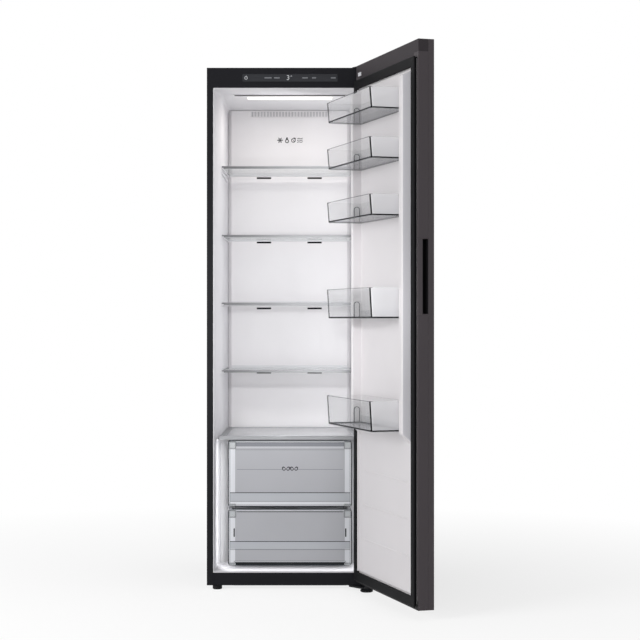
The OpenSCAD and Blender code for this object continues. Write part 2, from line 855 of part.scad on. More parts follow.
module compressor_mounts() {
  color("#141416")
    for (sx = [-1, 1])
      for (sy = [-1, 1])
        translate([comp_x + sx * 70, comp_y + sy * 50, plate_t])
          rotate_extrude()
            polygon([[3, 0], [13, 0], [13, mount_h - 0.1], [8, mount_h - 0.1], [8, mount_h + 3.3],
              [12, mount_h + 3.3], [12, mount_h + 6], [3, mount_h + 6]]);
}

module machine_plate() {
  e = 3;
  color("#8f9396")
    difference() {
      union() {
        block([-in_hw, machine_y + 0.2, 0], [in_hw, back_in, plate_t]);
        block([-in_hw, machine_y + 0.2, machine_h - 1], [in_hw, back_in, machine_h]);
        block([-in_hw, machine_y + 0.2, 0], [in_hw, machine_y + 1.4, machine_h]);
        for (s = [-1, 1])
          for (o = [-1, 1])
            translate([s * roller_x + o * (roller_w / 2 + 1 + e / 2) - e / 2, roller_y - 17, -2])
              cube([e, 34, 18]);
        for (s = [-1, 1])
          block([s * (in_hw - 14) - 14, back_in - 2, 0], [s * (in_hw - 14) + 14, back_in, machine_h]);
      }
      for (s = [-1, 1])
        block([s * roller_x - roller_w / 2 - 1, roller_y - roller_r - 2, -5],
          [s * roller_x + roller_w / 2 + 1, roller_y + roller_r + 2, plate_t + 1]);
      for (s = [-1, 1])
        translate([s * roller_x - 30, roller_y, axle_z])
          rotate([0, 90, 0])
            cylinder(r = axle_r, h = 60);
      for (i = [-3 : 1])
        block([i * 60 - 20, machine_y + 40, -1], [i * 60 + 20, machine_y + 52, plate_t + 1]);
    }
}

module condenser() {
  y = machine_y + cond_in;
  x0 = 26.5 - in_hw;
  x1 = comp_x - cond_side;
  pitch = (x1 - x0) / 10;
  color("#1c1c1e")
    union() {
      for (k = [0, 1])
        for (j = [0 : 4])
          translate([x0, y + k * 50, 40 + j * 34])
            rotate([0, 90, 0])
              cylinder(r = 3, h = x1 - x0);
      for (k = [0, 1])
        for (i = [0 : 9])
          block([x0 + 12 + i * pitch, y + k * 50 - 9, plate_t], [x0 + 13 + i * pitch, y + k * 50 + 9, 190]);
      for (k = [0, 1])
        for (j = [0 : 3])
          translate([j % 2 == 0 ? x1 : x0, y + k * 50, 57 + j * 34])
            rotate([90, 0, 0])
              intersection() {
                rotate_extrude()
                  translate([17, 0])
                    circle(3);
                translate([j % 2 == 0 ? 0 : -30, -30, -5])
                  cube([30, 60, 10]);
              }
      translate([x0, y, 40 + 4 * 34])
        rotate([-90, 0, 0])
          cylinder(r = 3, h = 50);
    }
}

module rear_cover() {
  w = in_hw - back_fold - 0.5;
  color("#8f9396")
    difference() {
      union() {
        block([-w, back_in + 0.1, 3], [w, cab_d, machine_h - 0.5]);
        block([-w, back_in + 0.1, 3], [w, cab_d + 2, 8]);
      }
      for (r = [0 : 2])
        for (i = [-8 : 3])
          block([i * 24 - 4, cab_d - 3, 34 + r * 62], [i * 24 + 4, cab_d + 3, 80 + r * 62]);
      block([inlet_x - 26, cab_d - 3, inlet_z - 17], [inlet_x + 26, cab_d + 3, inlet_z + 17]);
    }
}

inlet_x = in_hw - 86.5;
inlet_z = 70;
module power_inlet() {
  y1 = cab_d + 1;
  color("#141416")
    difference() {
      union() {
        block([inlet_x - 25, cab_d - 26, inlet_z - 16], [inlet_x + 25, y1, inlet_z + 16]);
        block([inlet_x - 31, cab_d - 3.6, inlet_z - 16], [inlet_x + 31, cab_d - 1.6, inlet_z + 16]);
      }
      block([inlet_x - 13, cab_d - 16, inlet_z - 9], [inlet_x + 13, y1 + 1, inlet_z + 9]);
    }
}

screw_r = 2.5;
bracket_t = 3;
low_bracket_t = 6;
upper_screws = [[pivot_x - 8, 36], [pivot_x - 44, 36], [pivot_x - 26, 50]];
lower_screws = [[pivot_x - 8, 38], [pivot_x - 34, 46], [pivot_x - 60, 38]];

module hinge_bracket_upper() {
  color("#2b2b2e")
    difference() {
      union() {
        zprism([[pivot_x - 54, 6], [pivot_x - 54, 60], [hw - 2, 60], [hw - 2, 6], [pivot_x + 11, pivot_y],
          [pivot_x - 11, pivot_y]], cab_h, cab_h + bracket_t);
        translate([pivot_x, pivot_y, cab_h])
          cylinder(r = 11, h = bracket_t);
        translate([pivot_x, pivot_y, cab_h - 1.6])
          cylinder(r = 9, h = 3);
      }
      translate([pivot_x, pivot_y, cab_h - 5])
        cylinder(r = pin_r, h = 12);
      for (p = upper_screws)
        translate([p[0], p[1], cab_h - 1])
          cylinder(r = screw_r + 0.2, h = 10);
    }
}

module hinge_bracket_lower() {
  color("#1c1c1e")
    difference() {
      union() {
        zprism([[pivot_x - 66, 6], [pivot_x - 66, 58], [hw - 2, 58], [hw - 2, 4], [pivot_x + 14, pivot_y],
          [pivot_x - 14, pivot_y]], -low_bracket_t, 0);
        translate([pivot_x, pivot_y, -low_bracket_t])
          cylinder(r = 14, h = low_bracket_t + 10);
        zprism([[pivot_x - 4, pivot_y], [pivot_x + 4, pivot_y],
          [pivot_x + 4, -0.3], [pivot_x - 4, -0.3]], -1, 8);
      }
      translate([pivot_x, pivot_y, 2])
        cylinder(r = pin_r, h = 20);
      translate([pivot_x - foot_in, pivot_y, -10])
        cylinder(r = stem_r, h = 10);
      for (p = lower_screws)
        translate([p[0], p[1], -10])
          cylinder(r = screw_r + 0.2, h = 20);
    }
}

module hinge_pins() {
  color("#b9bcc0") {
    translate([pivot_x, pivot_y, door_top - bush_len + 1])
      cylinder(r = pin_r, h = cab_h + bracket_t - door_top + bush_len);
    translate([pivot_x, pivot_y, cab_h + bracket_t])
      cylinder(r = pin_r + 2, h = 1.5);
    translate([pivot_x, pivot_y, 2])
      cylinder(r = pin_r, h = door_z + 14);
    translate([pivot_x, pivot_y, 10])
      cylinder(r = pin_r + 4, h = door_z - 10.3);
  }
}

module hinge_screws() {
  color("#b9bcc0") {
    for (p = upper_screws)
      translate([p[0], p[1], cab_h + bracket_t]) {
        cylinder(r = 5, h = 2);
        translate([0, 0, -12])
          cylinder(r = screw_r, h = 13);
      }
    for (p = lower_screws)
      translate([p[0], p[1], -low_bracket_t - 2]) {
        cylinder(r = 5, h = 2);
        cylinder(r = screw_r, h = 14);
      }
  }
}

// A drum of a foot with a chamfered pad, whose top lies a little below the base
module foot(r_low, r_up, top) {
  h = foot_down - top;
  translate([0, 0, -foot_down])
    rotate_extrude()
      polygon([[0, 0], [r_low, 0], [r_up, 2.5], [r_up, h], [0, h]]);
}

module foot_left() {
  color("#141416")
    translate([foot_x, foot_y, 0]) {
      foot(14.5, 17, 0.4);
      translate([0, 0, -2])
        cylinder(r = stem_r, h = 26);
    }
}

module foot_right() {
  color("#141416")
    translate([pivot_x - foot_in, pivot_y, 0]) {
      foot(19, 22.5, low_bracket_t + 0.4);
      translate([0, 0, -low_bracket_t - 2])
        cylinder(r = stem_r, h = low_bracket_t + 1.8);
    }
}

module roller_axles() {
  color("#b9bcc0")
    for (s = [-1, 1])
      translate([s * roller_x - roller_w / 2 - 6, roller_y, axle_z])
        rotate([0, 90, 0])
          cylinder(r = axle_r, h = roller_w + 12);
}

module roller(s) {
  color("#2b2b2e")
    translate([s * roller_x - roller_w / 2, roller_y, axle_z])
      rotate([0, 90, 0])
        difference() {
          rotate_extrude()
            polygon([[axle_r + pin_clear, 0], [roller_r - 1.5, 0], [roller_r, 1.5],
              [roller_r, roller_w - 1.5], [roller_r - 1.5, roller_w], [axle_r + pin_clear, roller_w]]);
          translate([0, 0, -1])
            difference() {
              cylinder(r = roller_r - 4, h = 5);
              cylinder(r = axle_r + 3, h = 6);
            }
        }
}

module roller_left() {
  roller(-1);
}

module roller_right() {
  roller(1);
}

module door_skin() {
  z0 = door_z;
  color("#4a4545")
    open_door()
      difference() {
        block([-hw, door_front, z0], [hw, skin_back, door_top]);
        block([-in_hw, door_front + sheet, z0 - 1], [in_hw, skin_back + 1, door_top + 1]);
      }
}

// The edge profile of the door at u = 0, its rim carrying the gasket
module edge_profile(z0, z1) {
  w0 = skin_back + door_gap;
  dprism([[0, w0], [0, 0], [rim_w - 2, 0], [rim_w - 2, -edge_t], [edge_t, -edge_t], [edge_t, w0]], z0, z1);
}

module door_edge_hinge() {
  color("#4a4545")
    open_door()
      edge_profile(door_z + foot_cap_h, door_top - cap_h);
}

// The edge profile at the free side comes in two lengths, with the grip moulding between them,
// and its lower end runs on down over the foot cap
module door_edge_handle() {
  color("#4a4545")
    open_door() {
      for (z = [[door_z + foot_cap_h, grip_z], [grip_z + grip_h, door_top - cap_h]])
        mirror([1, 0, 0])
          edge_profile(z[0], z[1]);
      dblock(cab_w - edge_t, cab_w, skin_back + door_gap, 0, door_z, door_z + foot_cap_h + eps);
    }
}

// The cap that closes one end of the door, between z0 and z1, with its closed side at zc
module door_cap(z0, z1, zc0, zc1) {
  w0 = skin_back + door_gap;
  wf = door_front + sheet + door_gap + 0.1;
  difference() {
    union() {
      dblock(0, cab_w, w0, 0, z0, z1);
      dblock(sheet + 0.1, cab_w - sheet - 0.1, wf, w0 + 1, zc0, zc1);
      translate([pivot_x, pivot_y, zc0 < (z0 + z1) / 2 ? zc0 : zc1 - bush_len - 2])
        cylinder(r = bush_r + 3, h = bush_len + 2);
    }
    dblock(edge_t, cab_w - edge_t, w0 - 1, -edge_t, zc0 < (z0 + z1) / 2 ? zc1 : z0 - 1,
      zc0 < (z0 + z1) / 2 ? z1 + 1 : zc0);
  }
}

module door_cap_top() {
  color("#474344")
    open_door()
      difference() {
        union() {
          door_cap(door_top - cap_h, door_top, door_top - 4, door_top);
          dblock(rim_w - 1.9, cab_w - rim_w + 1.9, -edge_t, 0, gasket_top - 3.6, door_top - cap_h + eps);
          translate([pivot_x, pivot_y, door_top - bush_len - 2])
            cylinder(r = bush_r + 2.5, h = bush_len + 2);
        }
        translate([pivot_x, pivot_y, door_top - bush_len])
          cylinder(r = bush_r, h = bush_len + 5);
        dblock(22.6, 53.4, -2.2, 1, door_top - 40.2, door_top - 26.8);
      }
}

module door_cap_bottom() {
  color("#232225")
    open_door()
      difference() {
        union() {
          door_cap(door_z, door_z + foot_cap_h, door_z, door_z + 4);
          translate([pivot_x, pivot_y, door_z])
            cylinder(r = bush_r + 2.5, h = bush_len + 2);
        }
        dblock(cab_w - edge_t - 0.1, cab_w + 1, skin_back + door_gap - eps, 1,
          door_z - 1, door_z + foot_cap_h + 1);
        translate([pivot_x, pivot_y, door_z - 5])
          cylinder(r = bush_r, h = bush_len + 5);
      }
}

module hinge_bushes() {
  color("#d8d8dc")
    for (z = [door_z, door_top - bush_len])
      translate([pivot_x, pivot_y, z])
        difference() {
          cylinder(r = bush_r, h = bush_len);
          translate([0, 0, -1])
            cylinder(r = pin_r + pin_clear, h = bush_len + 2);
        }
}

module grip_pocket() {
  w0 = skin_back + door_gap + 0.2;
  color("#141416")
    open_door()
      difference() {
        union() {
          dblock(cab_w - grip_d, cab_w, w0, -14.2, grip_z + 0.2, grip_z + grip_h - 0.2);
          dprism([[cab_w, -15], [cab_w, 0], [cab_w - rim_w + 2, 0], [cab_w - rim_w + 2, -edge_t],
            [cab_w - edge_t, -edge_t], [cab_w - edge_t, -15]], grip_z + 0.2, grip_z + grip_h - 0.2);
        }
        dprism([[cab_w + 1, w0 + 1.5], [cab_w - grip_d + 10, w0 + 1.5], [cab_w - grip_d + 1.5, w0 + 8],
          [cab_w - grip_d + 1.5, -15.7], [cab_w + 1, -15.7]], grip_z + 2, grip_z + grip_h - 2);
      }
}

// The formed pan and ledges of the door liner, drawn in by t
module liner_form(t) {
  dblock(pan_u0 + t, pan_u1 - t, -1, pan_w - t, pan_z0 + t, pan_z1 - t);
  for (p = [[dike_out, dike_out + 8, dike_in - 0.01, dike_in], [dike_free, dike_free + 0.01,
    dike_free_out - 8, dike_free_out]])
    intersection() {
      dprism([[p[0] + t, 0], [p[1] + t, dike_w - t], [p[2] - t, dike_w - t], [p[3] - t, 0]],
        pan_z0, pan_z1);
      dside([[-1, dike_low - 40], [pan_w - t, dike_low - 34 + t], [dike_w - t, dike_low + t],
        [dike_w - t, pan_z1 - 24 - t], [pan_w - t, pan_z1 - 6 - t], [-1, pan_z1 - 6]], 0, cab_w);
    }
}

module door_foam() {
  t = 0.2;
  c = edge_t + t;
  w0 = door_front + sheet + door_gap + t;
  z0 = door_z + foot_cap_h + t;
  z1 = door_top - cap_h - t;
  color("#e9dcae")
    open_door()
      difference() {
        union() {
          dblock(c, cab_w - c, w0, -c, z0, z1);
          liner_form(liner_t + 0.4);
          dblock(rim_w, cab_w - rim_w, -c - 1, -0.3, pan_z0 + 3, pan_z1 - 3);
        }
        dblock(cab_w - grip_d - t, cab_w, skin_back + door_gap - t, -14, grip_z - t, grip_z + grip_h + t);
      }
}

module lug_outline(h, grow) {
  r = lug_w / 2 + grow;
  union() {
    translate([0, h - lug_w / 2])
      circle(r);
    translate([-r, 0])
      square([2 * r, h - lug_w / 2]);
  }
}

// A slab in w and z with the outline of a lug, from u0 to u1
module lug_slab(u0, u1, z, h, grow) {
  translate([hw - u1, -door_gap + lug_mid, z])
    rotate([90, 0, 90])
      linear_extrude(u1 - u0)
        lug_outline(h, grow);
}

function lug_base(i) = bin_zs[i] + 10;

module door_liner() {
  r = rim_w - 2;
  color("#dad7d9")
    open_door()
      difference() {
        union() {
          dblock(gasket_edge + 4, cab_w - gasket_edge - 4, 0, liner_t * 0.75,
            gasket_low + 4, gasket_top - 4);
          liner_form(0);
          for (i = [0 : 4]) {
            lug_slab(dike_in - 1, dike_in + lug_out, lug_base(i), lug_h, 0);
            lug_slab(dike_free - lug_out, dike_free + 1, lug_base(i), lug_h, 0);
          }
          for (z = [180, 300, 420])
            dside([[pan_w - 0.5, z], [pan_w + 1.5, z + 2], [pan_w + 1.5, z + 4], [pan_w - 0.5, z + 6]],
              pan_u0 + 40, pan_u1 - 40);
        }
        liner_form(liner_t);
        dblock(pan_u0 + liner_t, pan_u1 - liner_t, -5, 0.01, pan_z0 + liner_t, pan_z1 - liner_t);
        dblock(0, cab_w, -5, 0, 0, cab_h);
      }
}

module gasket_ring(inset, w0, w1) {
  e = gasket_edge + inset;
  i = gasket_edge + gasket_w - inset;
  difference() {
    dblock(e, cab_w - e, w0, w1, gasket_low + inset, gasket_top - inset);
    dblock(i, cab_w - i, w0 - 1, w1 + 1, gasket_low + gasket_w - inset, gasket_top - gasket_w + inset);
  }
}

module gasket() {
  b = liner_t * 0.75;
  color("#17171a")
    open_door()
      union() {
        gasket_ring(3, b, b + 3);
        gasket_ring(7, b + 2.9, b + 6);
        gasket_ring(0, b + 5.9, gasket_face - 1.5);
        gasket_ring(2, gasket_face - 1.6, gasket_face);
      }
}

module sensor_magnet() {
  color("#d4d4d8")
    open_door()
      difference() {
        dblock(22.8, 53.2, -2, 1.6, door_top - 40, door_top - 27);
        dblock(26, 50, 1, 2, door_top - 37.5, door_top - 29.5);
      }
}

// A tray with a sloping front that hangs on a lug at each end
module bin(i) {
  z = bin_zs[i];
  h = bin_hs[i];
  t = bin_t;
  back = pan_w + 1.5;
  w = bin_u1 - bin_u0;
  top = lug_base(i) - z + lug_h;
  difference() {
    union() {
      intersection() {
        dside([[back, z], [bin_foot, z], [bin_rim, z + h], [back, z + h]], bin_u0, bin_u1);
        translate([hw - (bin_u0 + bin_u1) / 2, -door_gap + back + (bin_rim - back) / 2 - 12, z])
          linear_extrude(h)
            round_rect(w, bin_rim - back + 24, 11);
      }
      for (u = [bin_u0 - lug_out - 0.4, bin_u1 - 0.01])
        intersection() {
          lug_slab(u, u + lug_out + 0.41, z, top, lug_gap + chan_t);
          dblock(0, cab_w, 0, bin_rim, z, z + h);
        }
    }
    intersection() {
      dside([[back + t, z + t], [bin_foot - t, z + t], [bin_rim - t, z + h + 1], [back + t, z + h + 1]],
        bin_u0 + t, bin_u1 - t);
      translate([hw - (bin_u0 + bin_u1) / 2, -door_gap + back + (bin_rim - back) / 2 - 12, z])
        linear_extrude(h + 2)
          round_rect(w - 2 * t, bin_rim - back + 24 - 2 * t, 11 - t);
    }
    for (u = [bin_u0 - lug_out - 2, bin_u1 + 0.4])
      lug_slab(u, u + lug_out + 1.6, z - 1, top + 1, lug_gap);
  }
}

module bin_1() {
  color("#c9ccce", 0.6)
    open_door()
      bin(0);
}

module bin_2() {
  color("#c9ccce", 0.6)
    open_door()
      bin(1);
}

module bin_3() {
  color("#c9ccce", 0.6)
    open_door()
      bin(2);
}

module bin_4() {
  color("#c9ccce", 0.6)
    open_door()
      bin(3);
}

module bin_5() {
  color("#c9ccce", 0.6)
    open_door()
      bin(4);
}

side_panel_left();
side_panel_right();
top_panel();
rear_panel();
base_pan();
base_front_panel();
cabinet_foam();
inner_liner();
control_housing();
display_window();
lamp_housing();
lamp_lens();
duct_cover();
evaporator();
fan_shroud();
fan_rotor();
shelf_glass(shelf_zs[0]);  // shelf_glass_1
shelf_glass(shelf_zs[1]);  // shelf_glass_2
shelf_glass(shelf_zs[2]);  // shelf_glass_3
shelf_glass(shelf_zs[3]);  // shelf_glass_4
shelf_trims(shelf_zs[0]);  // shelf_trims_1
shelf_trims(shelf_zs[1]);  // shelf_trims_2
shelf_trims(shelf_zs[2]);  // shelf_trims_3
shelf_trims(shelf_zs[3]);  // shelf_trims_4
cover_shelf_glass();
cover_shelf_trims();
drawer_rails();
compressor();
compressor_mounts();
machine_plate();
condenser();
rear_cover();
power_inlet();
hinge_bracket_upper();
hinge_bracket_lower();
hinge_pins();
hinge_screws();
foot_left();
foot_right();
roller_axles();
roller_left();
roller_right();
door_skin();
door_edge_hinge();
door_edge_handle();
door_cap_top();
door_cap_bottom();
grip_pocket();
door_foam();
door_liner();
gasket();
sensor_magnet();
hinge_bushes();
bin_1();
bin_2();
bin_3();
bin_4();
bin_5();
drawer_upper();
drawer_lower();
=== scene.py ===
import math

import bmesh
import bpy
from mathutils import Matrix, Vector


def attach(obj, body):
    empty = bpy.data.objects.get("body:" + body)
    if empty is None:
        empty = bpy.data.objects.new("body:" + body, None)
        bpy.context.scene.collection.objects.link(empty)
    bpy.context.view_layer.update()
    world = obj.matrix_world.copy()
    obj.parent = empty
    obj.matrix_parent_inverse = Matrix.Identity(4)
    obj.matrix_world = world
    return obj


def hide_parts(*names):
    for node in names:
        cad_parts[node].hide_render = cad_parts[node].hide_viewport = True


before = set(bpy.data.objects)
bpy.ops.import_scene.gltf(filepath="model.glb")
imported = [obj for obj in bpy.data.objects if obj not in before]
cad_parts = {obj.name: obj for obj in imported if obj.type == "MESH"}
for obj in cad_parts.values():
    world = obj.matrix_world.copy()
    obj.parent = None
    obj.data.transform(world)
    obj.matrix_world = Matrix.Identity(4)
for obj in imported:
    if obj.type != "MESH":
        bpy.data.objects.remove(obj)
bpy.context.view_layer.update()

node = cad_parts

# ---------------------------------------------------------------- photographer's view
# A long lens 5.75 m in front of the cabinet and 0.95 m above its base, a little left
# of its middle, looks straight at it. A small shift puts the open door in the picture.
PICTURE = 640
AXIS_X, AXIS_Y = 281.63, 318.9  # where the lens's axis meets the picture, in pixels
eye = bpy.data.cameras.new("product_lens")
eye.sensor_width = 36
eye.lens = 90.33
eye.shift_x = (PICTURE / 2 - AXIS_X) / PICTURE
eye.shift_y = -(PICTURE / 2 - AXIS_Y) / PICTURE
camera = bpy.data.objects.new("product_camera", eye)
camera.location = (-0.02984, -5.7462, 0.95346)
camera.rotation_euler = (math.radians(90), 0, 0)
bpy.context.scene.collection.objects.link(camera)
bpy.context.scene.camera = camera
bpy.context.scene.view_settings.view_transform = "Standard"


# ---------------------------------------------------------------- studio
# A pale floor that runs out into white paper, and white light all round it.
# The floor keeps the refrigerator's own soft shadow.
def shade(code):
    """An sRGB hex colour as the linear colour that a shader takes."""
    parts = [int(code[i:i + 2], 16) / 255 for i in (1, 3, 5)]
    return [p / 12.92 if p <= 0.04045 else ((p + 0.055) / 1.055) ** 2.4 for p in parts] + [1.0]


def put(tree, kind, inputs=None, **settings):
    """Adds a node, with its settings, its values and what is linked to it."""
    added = tree.nodes.new("ShaderNode" + kind)
    for name, value in settings.items():
        setattr(added, name, value)
    for name, value in (inputs or {}).items():
        if isinstance(value, bpy.types.NodeSocket):
            tree.links.new(value, added.inputs[name])
        else:
            added.inputs[name].default_value = value
    return added


def two_tone(ramp, dark, light):
    """Gives a colour ramp its dark and its light end, as sRGB hex colours."""
    ramp.color_ramp.elements[0].color = shade(dark)
    ramp.color_ramp.elements[1].color = shade(light)


def finish_called(name):
    """A new finish: the material, its node tree and the socket that shows it."""
    finish = bpy.data.materials.new(name)
    finish.use_nodes = True
    finish.node_tree.nodes.clear()
    out = finish.node_tree.nodes.new("ShaderNodeOutputMaterial")
    return finish, finish.node_tree, out.inputs["Surface"]


def leave():
    """Leaves edit mode, where something is in it."""
    if bpy.context.object and bpy.context.object.mode == "EDIT":
        bpy.ops.object.mode_set(mode="OBJECT")


def deselect():
    """Leaves edit mode and selects nothing."""
    leave()
    bpy.ops.object.select_all(action="DESELECT")


def looked_at(tree):
    """1 for what the camera, a reflection or clear plastic looks at, 0 for light."""
    ray = put(tree, "LightPath")
    seen = put(tree, "Math", {0: ray.outputs["Is Camera Ray"], 1: ray.outputs["Is Glossy Ray"]},
               operation="MAXIMUM")
    return put(tree, "Math", {0: seen.outputs[0], 1: ray.outputs["Is Transmission Ray"]},
               operation="MAXIMUM").outputs[0]


FLOOR_Z, FLOOR_SIZE = -0.014, 60
paper, tree, surface = finish_called("seamless_paper")
place = put(tree, "TexCoord")
grain = put(tree, "TexNoise", {"Vector": place.outputs["Object"], "Scale": 600.0, "Detail": 2.0})
tone = put(tree, "ValToRGB", {"Fac": grain.outputs["Fac"]})
two_tone(tone, "#f2f2f2", "#f8f8f8")
matte = put(tree, "BsdfDiffuse", {"Color": tone.outputs["Color"], "Roughness": 0.9})
white = put(tree, "Emission", {"Color": (1, 1, 1, 1), "Strength": 1.0})
away = put(tree, "VectorMath", {0: place.outputs["Object"]}, operation="LENGTH")
fade = put(tree, "MapRange", {"Value": away.outputs["Value"], "From Min": 0.5, "From Max": 2.6,
                              "To Min": 0.72, "To Max": 1.0})
part = put(tree, "Math", {0: fade.outputs["Result"], 1: looked_at(tree)}, operation="MULTIPLY")
both = put(tree, "MixShader", {0: part.outputs[0], 1: matte.outputs[0], 2: white.outputs[0]})
tree.links.new(both.outputs[0], surface)

deselect()
bpy.ops.mesh.primitive_plane_add(size=FLOOR_SIZE, location=(0, 0, FLOOR_Z))
floor = bpy.context.object
floor.name = "studio_floor"
floor.data.materials.append(paper)

studio = bpy.data.worlds.new("white_studio")
bpy.context.scene.world = studio
studio.use_nodes = True
tree = studio.node_tree
tree.nodes.clear()
wall = put(tree, "Background", {"Color": (1, 1, 1, 1), "Strength": 1.0})
fill = put(tree, "Background", {"Color": (1, 1, 1, 1), "Strength": 0.45})
both = put(tree, "MixShader", {0: looked_at(tree), 1: fill.outputs[0], 2: wall.outputs[0]})
out = tree.nodes.new("ShaderNodeOutputWorld")
tree.links.new(both.outputs[0], out.inputs["Surface"])

# Lamps: name, place, target, width, height, watts and spread in degrees. A wide
# softbox at the left lights the open door. A fill inside the opening, behind where the
# closed door comes, looks to the back and a little to the left. Narrow strips light
# the space over the cover shelf and the gaps beside and under the drawers. Only the
# softboxes show in reflections.
LAMPS = [("left_softbox", (-2.9, -2.6, 1.2), (0.25, -0.2, 0.95), 2.2, 2.2, 88, 180),
         ("front_softbox", (-0.3, -5.6, 1.0), (0, 0.3, 0.95), 3.0, 3.0, 30, 180),
         ("opening_fill", (0.08, 0.052, 1.12), (-0.40, 1.064, 1.12), 0.28, 1.16, 1.86, 180),
         ("shelf_strip", (0, 0.010, 0.590), (0, 0.51, 0.543), 0.40, 0.012, 0.022, 20),
         ("left_strip", (-0.236, -0.004, 0.29), (-0.240, 0.13, 0.29), 0.016, 0.44, 0.25, 97),
         ("right_strip", (0.236, -0.004, 0.29), (0.240, 0.13, 0.29), 0.016, 0.44, 0.21, 97),
         ("sill_strip", (0, -0.004, 0.061), (0, 0.06, 0.055), 0.46, 0.006, 0.055, 100)]
for name, spot, target, width, height, watts, spread in LAMPS:
    lamp = bpy.data.lights.new(name, "AREA")
    lamp.shape = "RECTANGLE"
    lamp.size, lamp.size_y = width, height
    lamp.energy = watts
    lamp.spread = math.radians(spread)
    box = bpy.data.objects.new(name, lamp)
    box.location = spot
    box.rotation_euler = (Vector(target) - Vector(spot)).to_track_quat("-Z", "Y").to_euler()
    box.visible_camera = False
    box.visible_glossy = name.endswith("softbox")
    bpy.context.scene.collection.objects.link(box)

# A small lamp in front, with a soft rim, draws the shelves' shadows on the back wall.
lamp = bpy.data.lights.new("shelf_beam", "SPOT")
lamp.energy = 44
lamp.spot_size = math.radians(40)
lamp.spot_blend = 1.0
lamp.shadow_soft_size = 0.05
beam = bpy.data.objects.new("shelf_beam", lamp)
beam.location = (0, -1.84, 1.126)
beam.rotation_euler = (Vector((0, 0.52, 0.90)) - beam.location).to_track_quat("-Z", "Y").to_euler()
beam.visible_camera = False
bpy.context.scene.collection.objects.link(beam)


# ---------------------------------------------------------------- painted steel shell
# Two bent side panels and a pressed top of 1 mm steel sheet under a black
# powder coat. They are folded at the front into the narrow flange of the opening.
def painted(name, dark, light, rough, peel_mm, peel, level):
    """Powder coat on steel: a fine orange peel and a faint change of tone."""
    finish, tree, surface = finish_called(name)
    place = put(tree, "TexCoord")
    cloud = put(tree, "TexNoise", {"Vector": place.outputs["Object"], "Scale": 9.0, "Detail": 3.0})
    tone = put(tree, "ValToRGB", {"Fac": cloud.outputs["Fac"]})
    two_tone(tone, dark, light)
    skin = put(tree, "TexNoise", {"Vector": place.outputs["Object"], "Scale": 1000 / peel_mm,
                                  "Detail": 2.0})
    rub = put(tree, "MapRange", {"Value": cloud.outputs["Fac"], "To Min": rough - 0.04,
                                 "To Max": rough + 0.05})
    bump = put(tree, "Bump", {"Height": skin.outputs["Fac"], "Strength": peel, "Distance": 0.0004})
    coat = put(tree, "BsdfPrincipled", {"Base Color": tone.outputs["Color"],
                                        "Roughness": rub.outputs["Result"],
                                        "Specular IOR Level": level,
                                        "Normal": bump.outputs["Normal"]})
    tree.links.new(coat.outputs[0], surface)
    return finish


def dress(finish, *names):
    """Gives CAD nodes their finish."""
    for name in names:
        node[name].data.materials.clear()
        node[name].data.materials.append(finish)


def soften(width, *names):
    """Rounds the sharp edges of CAD nodes without touching their meshes."""
    for name in names:
        weld = node[name].modifiers.new("weld", "WELD")
        weld.merge_threshold = 0.00002
        bevel = node[name].modifiers.new("edge_round", "BEVEL")
        bevel.width = width
        bevel.segments = 2
        bevel.limit_method = "ANGLE"
        bevel.angle_limit = math.radians(40)
        bevel.use_clamp_overlap = True


black_coat = painted("black_powder_coat", "#151518", "#18181c", 0.5, 1.6, 0.05, 0.12)
dress(black_coat, "side_panel_left", "side_panel_right", "top_panel")
soften(0.0004, "side_panel_left", "side_panel_right")


# ---------------------------------------------------------------- galvanised sheet
# The back panel, the base pan, the machine plate and the cover behind the
# machines are pressed from hot-dip galvanised steel, left bare with its spangle.
def spangled(name, dark, light, spangle_mm):
    """Zinc crystals: flat patches of slightly different grey and gloss."""
    finish, tree, surface = finish_called(name)
    place = put(tree, "TexCoord")
    cells = put(tree, "TexVoronoi", {"Vector": place.outputs["Object"], "Scale": 1000 / spangle_mm})
    tone = put(tree, "ValToRGB", {"Fac": cells.outputs["Color"]})
    two_tone(tone, dark, light)
    rub = put(tree, "MapRange", {"Value": cells.outputs["Color"], "To Min": 0.32, "To Max": 0.5})
    fine = put(tree, "TexNoise", {"Vector": place.outputs["Object"], "Scale": 900.0, "Detail": 2.0})
    bump = put(tree, "Bump", {"Height": fine.outputs["Fac"], "Strength": 0.05, "Distance": 0.0003})
    zinc = put(tree, "BsdfPrincipled", {"Base Color": tone.outputs["Color"], "Metallic": 0.85,
                                        "Roughness": rub.outputs["Result"],
                                        "Normal": bump.outputs["Normal"]})
    tree.links.new(zinc.outputs[0], surface)
    return finish


galvanised = spangled("galvanised_steel", "#a4a8ac", "#b9bdc0", 9)
dress(galvanised, "rear_panel", "base_pan", "machine_plate", "rear_cover")
soften(0.0006, "rear_cover")

# ---------------------------------------------------------------- insulating foam
# Rigid polyurethane foam, poured between the shell and the liners. It is
# cream coloured, with a fine closed-cell skin where it meets the sheet.
foam, tree, surface = finish_called("rigid_polyurethane_foam")
place = put(tree, "TexCoord")
cells = put(tree, "TexVoronoi", {"Vector": place.outputs["Object"], "Scale": 700.0})
tone = put(tree, "ValToRGB", {"Fac": cells.outputs["Distance"]})
two_tone(tone, "#e0cf9a", "#efe3ba")
bump = put(tree, "Bump", {"Height": cells.outputs["Distance"], "Strength": 0.4, "Distance": 0.0006})
cured = put(tree, "BsdfPrincipled", {"Base Color": tone.outputs["Color"], "Roughness": 0.9,
                                     "Normal": bump.outputs["Normal"]})
tree.links.new(cured.outputs[0], surface)
dress(foam, "cabinet_foam", "door_foam")


